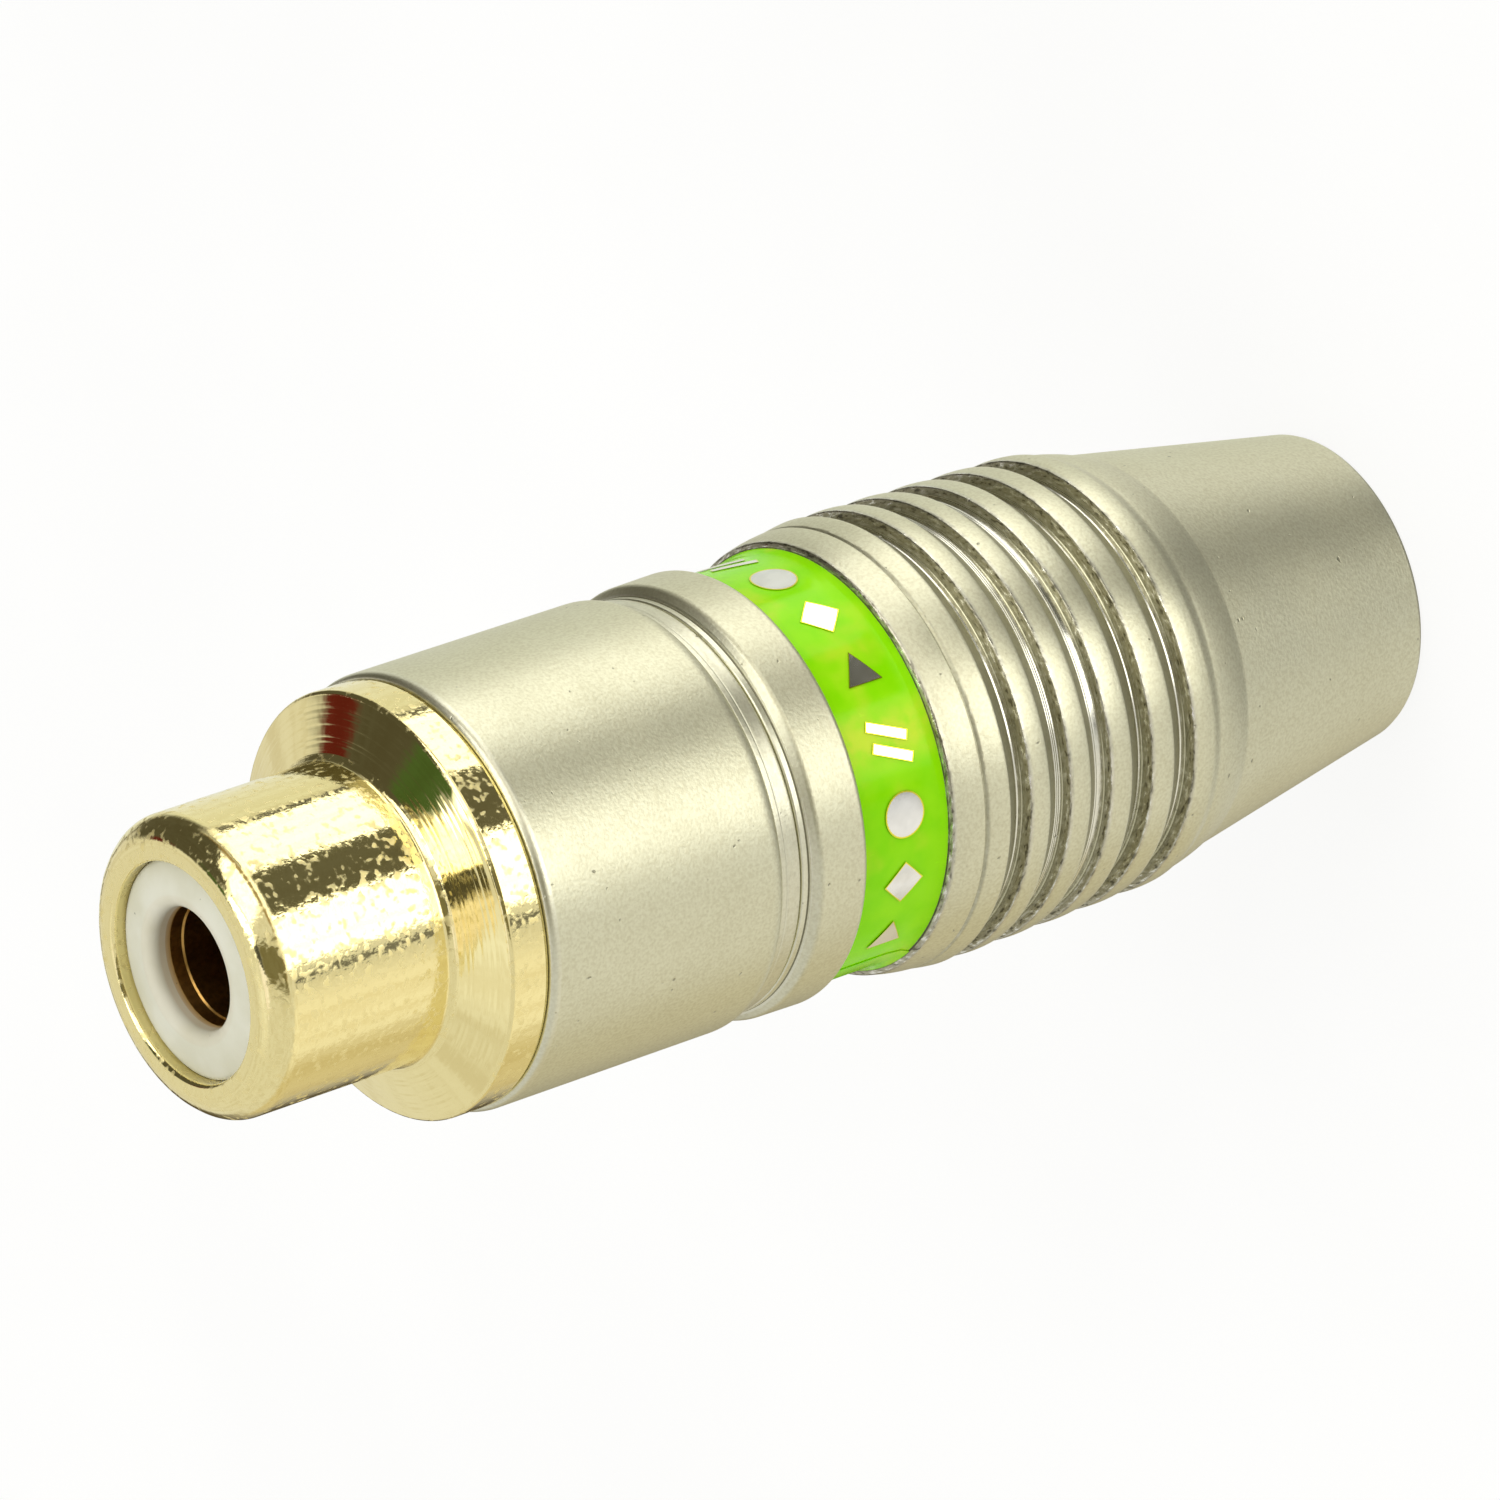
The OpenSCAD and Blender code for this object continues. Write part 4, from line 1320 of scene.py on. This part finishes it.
@dataclass
class Studio:
    """Pale floor, soft light and the camera at the photograph's angle.

    Azimuths count from the camera's side, -Y, towards +X. The object's plain walls mirror a ring
    34 degrees below the horizon, because it stands upright and the camera looks down on it.
    """

    camera_target: tuple[float, float, float] = (0.77, 0.0, 19.74)
    camera_distance: float = 320.73
    camera_tilt_deg: float = 34.07
    camera_roll_deg: float = -108.64
    lens: float = 288.0
    sensor: float = 36.0
    ambient: float = 0.76
    backdrop: str = "#F6F6F4"
    floor_size: float = 4000.0
    lamp_height: float = 500.0
    lamp_size: float = 600.0
    lamp_power: float = 0.8
    panels: tuple[Panel, ...] = (
        # the surroundings, which darken behind the object and under it
        Panel((-150, -92), (-44, -4), 30, 10, 0.68, "#FFF4D4"),
        Panel((-230, -150), (-42, -4), 36, 10, 0.1, "#FFE4A4"),
        Panel((-95, -43), (-44, -10), 26, 10, 0.95, "#FFFCF6"),
        Panel((104, 184), (-46, -10), 8, 8, 0.86, "#FCFFF8"),
        Panel((-200, 200), (-100, -46), 1, 8, 0.82),
        Panel((-25, 85), (-100, -45), 70, 8, 0.12),
        Panel((130, 230), (-100, -54), 30, 8, 0.3),
        Panel((-200, 200), (-100, -62), 1, 14, 0.25),
        # two softboxes with the dark gap between them, brighter in a strip across their middles
        Panel((54, 97.5), (-42, 0), 1.4, 4, 0.45),
        Panel((24, 76), (15, 66), 8, 5, 2.4),
        Panel((12, 56), (-43, -16), 1.4, 9, 0.13, "#FFFBE0"),
        Panel((12, 56), (-12, 0), 4, 4, 1.6),
        Panel((-21, 17.8), (-42, 0), 1.8, 4, 1.2),
        Panel((54, 97.5), (-40, -22), 1.4, 3, 2.2),
        Panel((54, 92), (-26, -6), 5, 3, 2.0),
        Panel((-21, 17.8), (-40, -6), 2.4, 3, 2.7),
        Panel((-33, -28), (-42, -26), 1.5, 3, 0.16),
        Panel((98, 102.5), (-42, -26), 1, 3, 0.1),
        # the dark slit between the softboxes below and the light above
        Panel((-30, 96), (2, 11), 12, 5, 0.42, "#FFE2B0"),
        # a dark corner behind the softbox, with a red and a green thing in it
        Panel((97, 150), (-16, 12), 10, 16, 0.1, "#FFF8D8"),
        Panel((76, 153), (4, 66), 9, 10, 0.09, "#FFF8D8"),
        Panel((146, 154), (28, 39), 3, 4, 0.12, "#FF6A5C"),
        Panel((132, 149), (56, 69), 3, 4, 0.12, "#C4FF96"),
        # overhead light, a paler one in front of it and the dark lens side beside it
        Panel((14, 152), (69, 95), 6, 3, 3.4),
        Panel((-165, -110), (54, 78), 24, 14, 1.0, "#F7F9FF"),
        Panel((-100, -36), (64, 82), 10, 4, 1.2, "#F0EEFF"),
        Panel((-36, 4), (5, 70), 8, 8, 0.2, "#FFF6C6"),
        Panel((-36, 13), (69, 95), 5, 3, 0.08),
    )
    unevenness: float = 0.3
    unevenness_scale: float = 11.0
    unevenness_tint: str = "#C8B888"
    paper: tuple[str, str] = ("#FCFCFB", "#FFFFFE")
    paper_patch: float = 30.0
    paper_base: str = "#585858"
    paper_roughness: float = 0.9
    paper_glow: float = 0.88

    def build(self) -> None:
        """Sets up the camera, the light and the floor."""
        self.build_camera()
        self.build_surroundings()
        self.build_lamp()
        self.build_floor()
        bpy.context.scene.view_settings.view_transform = "Standard"

    def build_camera(self) -> None:
        """Places the camera where the photograph was taken from."""
        data = bpy.data.cameras.new("camera")
        data.lens, data.sensor_width = self.lens, self.sensor
        data.clip_start, data.clip_end = 0.01, 20.0
        camera = bpy.data.objects.new("camera", data)
        tilt = Matrix.Rotation(math.radians(90 - self.camera_tilt_deg), 4, "X")
        roll = Matrix.Rotation(math.radians(self.camera_roll_deg), 4, "Z")
        back = tilt.to_3x3() @ Vector((0, 0, 1))
        place = (Vector(self.camera_target) + back * self.camera_distance) * MM
        camera.matrix_world = Matrix.Translation(place) @ tilt @ roll
        bpy.context.scene.collection.objects.link(camera)
        bpy.context.scene.camera = camera

    def build_surroundings(self) -> None:
        """Paints the panels on the world, and shows the camera a plain backdrop instead."""
        world = bpy.data.worlds.new("studio")
        bpy.context.scene.world = world
        world.use_nodes = True
        world.node_tree.nodes.clear()
        add = partial(add_node, world.node_tree)
        way = add("ShaderNodeTexCoord").outputs["Generated"]
        ray = add("ShaderNodeSeparateXYZ", [way]).outputs
        azimuth = add(Op.DEGREES, [add(Op.ARCTAN2, [ray[0], add(Op.MULTIPLY, [ray[1], -1.0])])])
        elevation = add(Op.DEGREES, [add(Op.ARCSINE, [ray[2]])])
        light = (self.ambient, self.ambient, self.ambient, 1.0)
        for panel in self.panels:
            glow = (*[c * panel.strength for c in linear(panel.colour)[:3]], 1.0)
            light = add(Op.MIX, {0: self.cover(add, azimuth, elevation, panel), 6: light, 7: glow}).outputs[2]
        # nothing in a room is quite even, and a mirror shows it
        drift = add(Op.NOISE, {"Vector": way, "Scale": self.unevenness_scale, "Detail": 4.0})
        light = add(Op.MIX, {
            0: add(Op.REMAP, [drift, 0.4, 0.66, 0.0, self.unevenness]), 6: light, 7: linear(self.unevenness_tint),
        }, blend_type="MULTIPLY").outputs[2]
        which = add("ShaderNodeMixShader", [
            add("ShaderNodeLightPath").outputs["Is Camera Ray"], add("ShaderNodeBackground", [light]),
            add("ShaderNodeBackground", [linear(self.backdrop)]),
        ])
        add("ShaderNodeOutputWorld", {"Surface": which})

    @staticmethod
    def cover(add: Adder, azimuth: Source, elevation: Source, panel: Panel) -> bpy.types.Node:
        """Tells how far a panel covers a direction.

        Args:
            add: What adds nodes to the world's tree.
            azimuth: The direction's azimuth in degrees.
            elevation: Its elevation in degrees.
            panel: The panel.

        Returns:
            The node with the cover, from 0 to 1.
        """
        half_w, half_h = ((high - low) / 2 for low, high in (panel.azimuth, panel.elevation))
        turned = add(Op.SUBTRACT, [azimuth, sum(panel.azimuth) / 2])
        across = add(Op.ABSOLUTE, [add(Op.WRAP, [turned, 180.0, -180.0])])
        along = add(Op.ABSOLUTE, [add(Op.SUBTRACT, [elevation, sum(panel.elevation) / 2])])
        side, end = panel.side_edge / 2, panel.end_edge / 2
        return add(Op.MULTIPLY, [
            add(Op.REMAP, [across, half_w - side, half_w + side, 1.0, 0.0]),
            add(Op.REMAP, [along, half_h - end, half_h + end, 1.0, 0.0]),
        ])

    def build_lamp(self) -> None:
        """Hangs one large soft lamp above, which lights the matt surfaces and the floor."""
        data = bpy.data.lights.new("soft_lamp", "AREA")
        data.energy, data.size = self.lamp_power, self.lamp_size * MM
        lamp = bpy.data.objects.new("soft_lamp", data)
        lamp.location = (0.0, 0.0, self.lamp_height * MM)
        lamp.visible_glossy = False
        lamp.visible_camera = False
        bpy.context.scene.collection.objects.link(lamp)

    def build_floor(self) -> None:
        """Lays the pale floor, which the metal doesn't mirror, as the panels stand in its place."""
        half = self.floor_size / 2 * MM
        mesh = bpy.data.meshes.new("floor")
        mesh.from_pydata([(-half, -half, 0), (half, -half, 0), (half, half, 0), (-half, half, 0)], [],
                         [(0, 1, 2, 3)])
        material, add = finish_tree("floor_paper")
        where = add("ShaderNodeTexCoord").outputs["Object"]
        patches = add(Op.NOISE, {"Vector": where, "Scale": 1 / (self.paper_patch * MM), "Detail": 3.0})
        dark, pale = (linear(colour) for colour in self.paper)
        tint = add(Op.MIX, {0: add(Op.REMAP, [patches, 0.3, 0.7, 0.0, 1.0]), 6: dark, 7: pale}).outputs[2]
        # white paper lit from below like a light table, so that only a faint contact shadow is left
        shader = add("ShaderNodeBsdfPrincipled", {
            "Base Color": linear(self.paper_base), "Roughness": self.paper_roughness, "Emission Color": tint,
            "Emission Strength": self.paper_glow,
        })
        add("ShaderNodeOutputMaterial", {"Surface": shader})
        mesh.materials.append(material)
        floor = bpy.data.objects.new("floor", mesh)
        floor.visible_glossy = False
        floor.visible_shadow = False
        bpy.context.scene.collection.objects.link(floor)


def main() -> None:
    """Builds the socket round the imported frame."""
    logging.basicConfig(level=logging.INFO, format="%(message)s")
    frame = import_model()
    Studio().build()
    finishes = {f.name: f.build() for f in (GOLD, CONTACT, NICKEL, SHEET_BRASS, IVORY, MILKY, LIME, SILVER)}
    turning, marking = TurningRecipe(), MarksRecipe()
    FrontSocket().build(frame, turning, finishes)
    RearHousing().build(turning, marking, finishes)
    dress(frame, "insulating_sleeve", finishes["milky_plastic"])


if __name__ == "__main__":
    main()
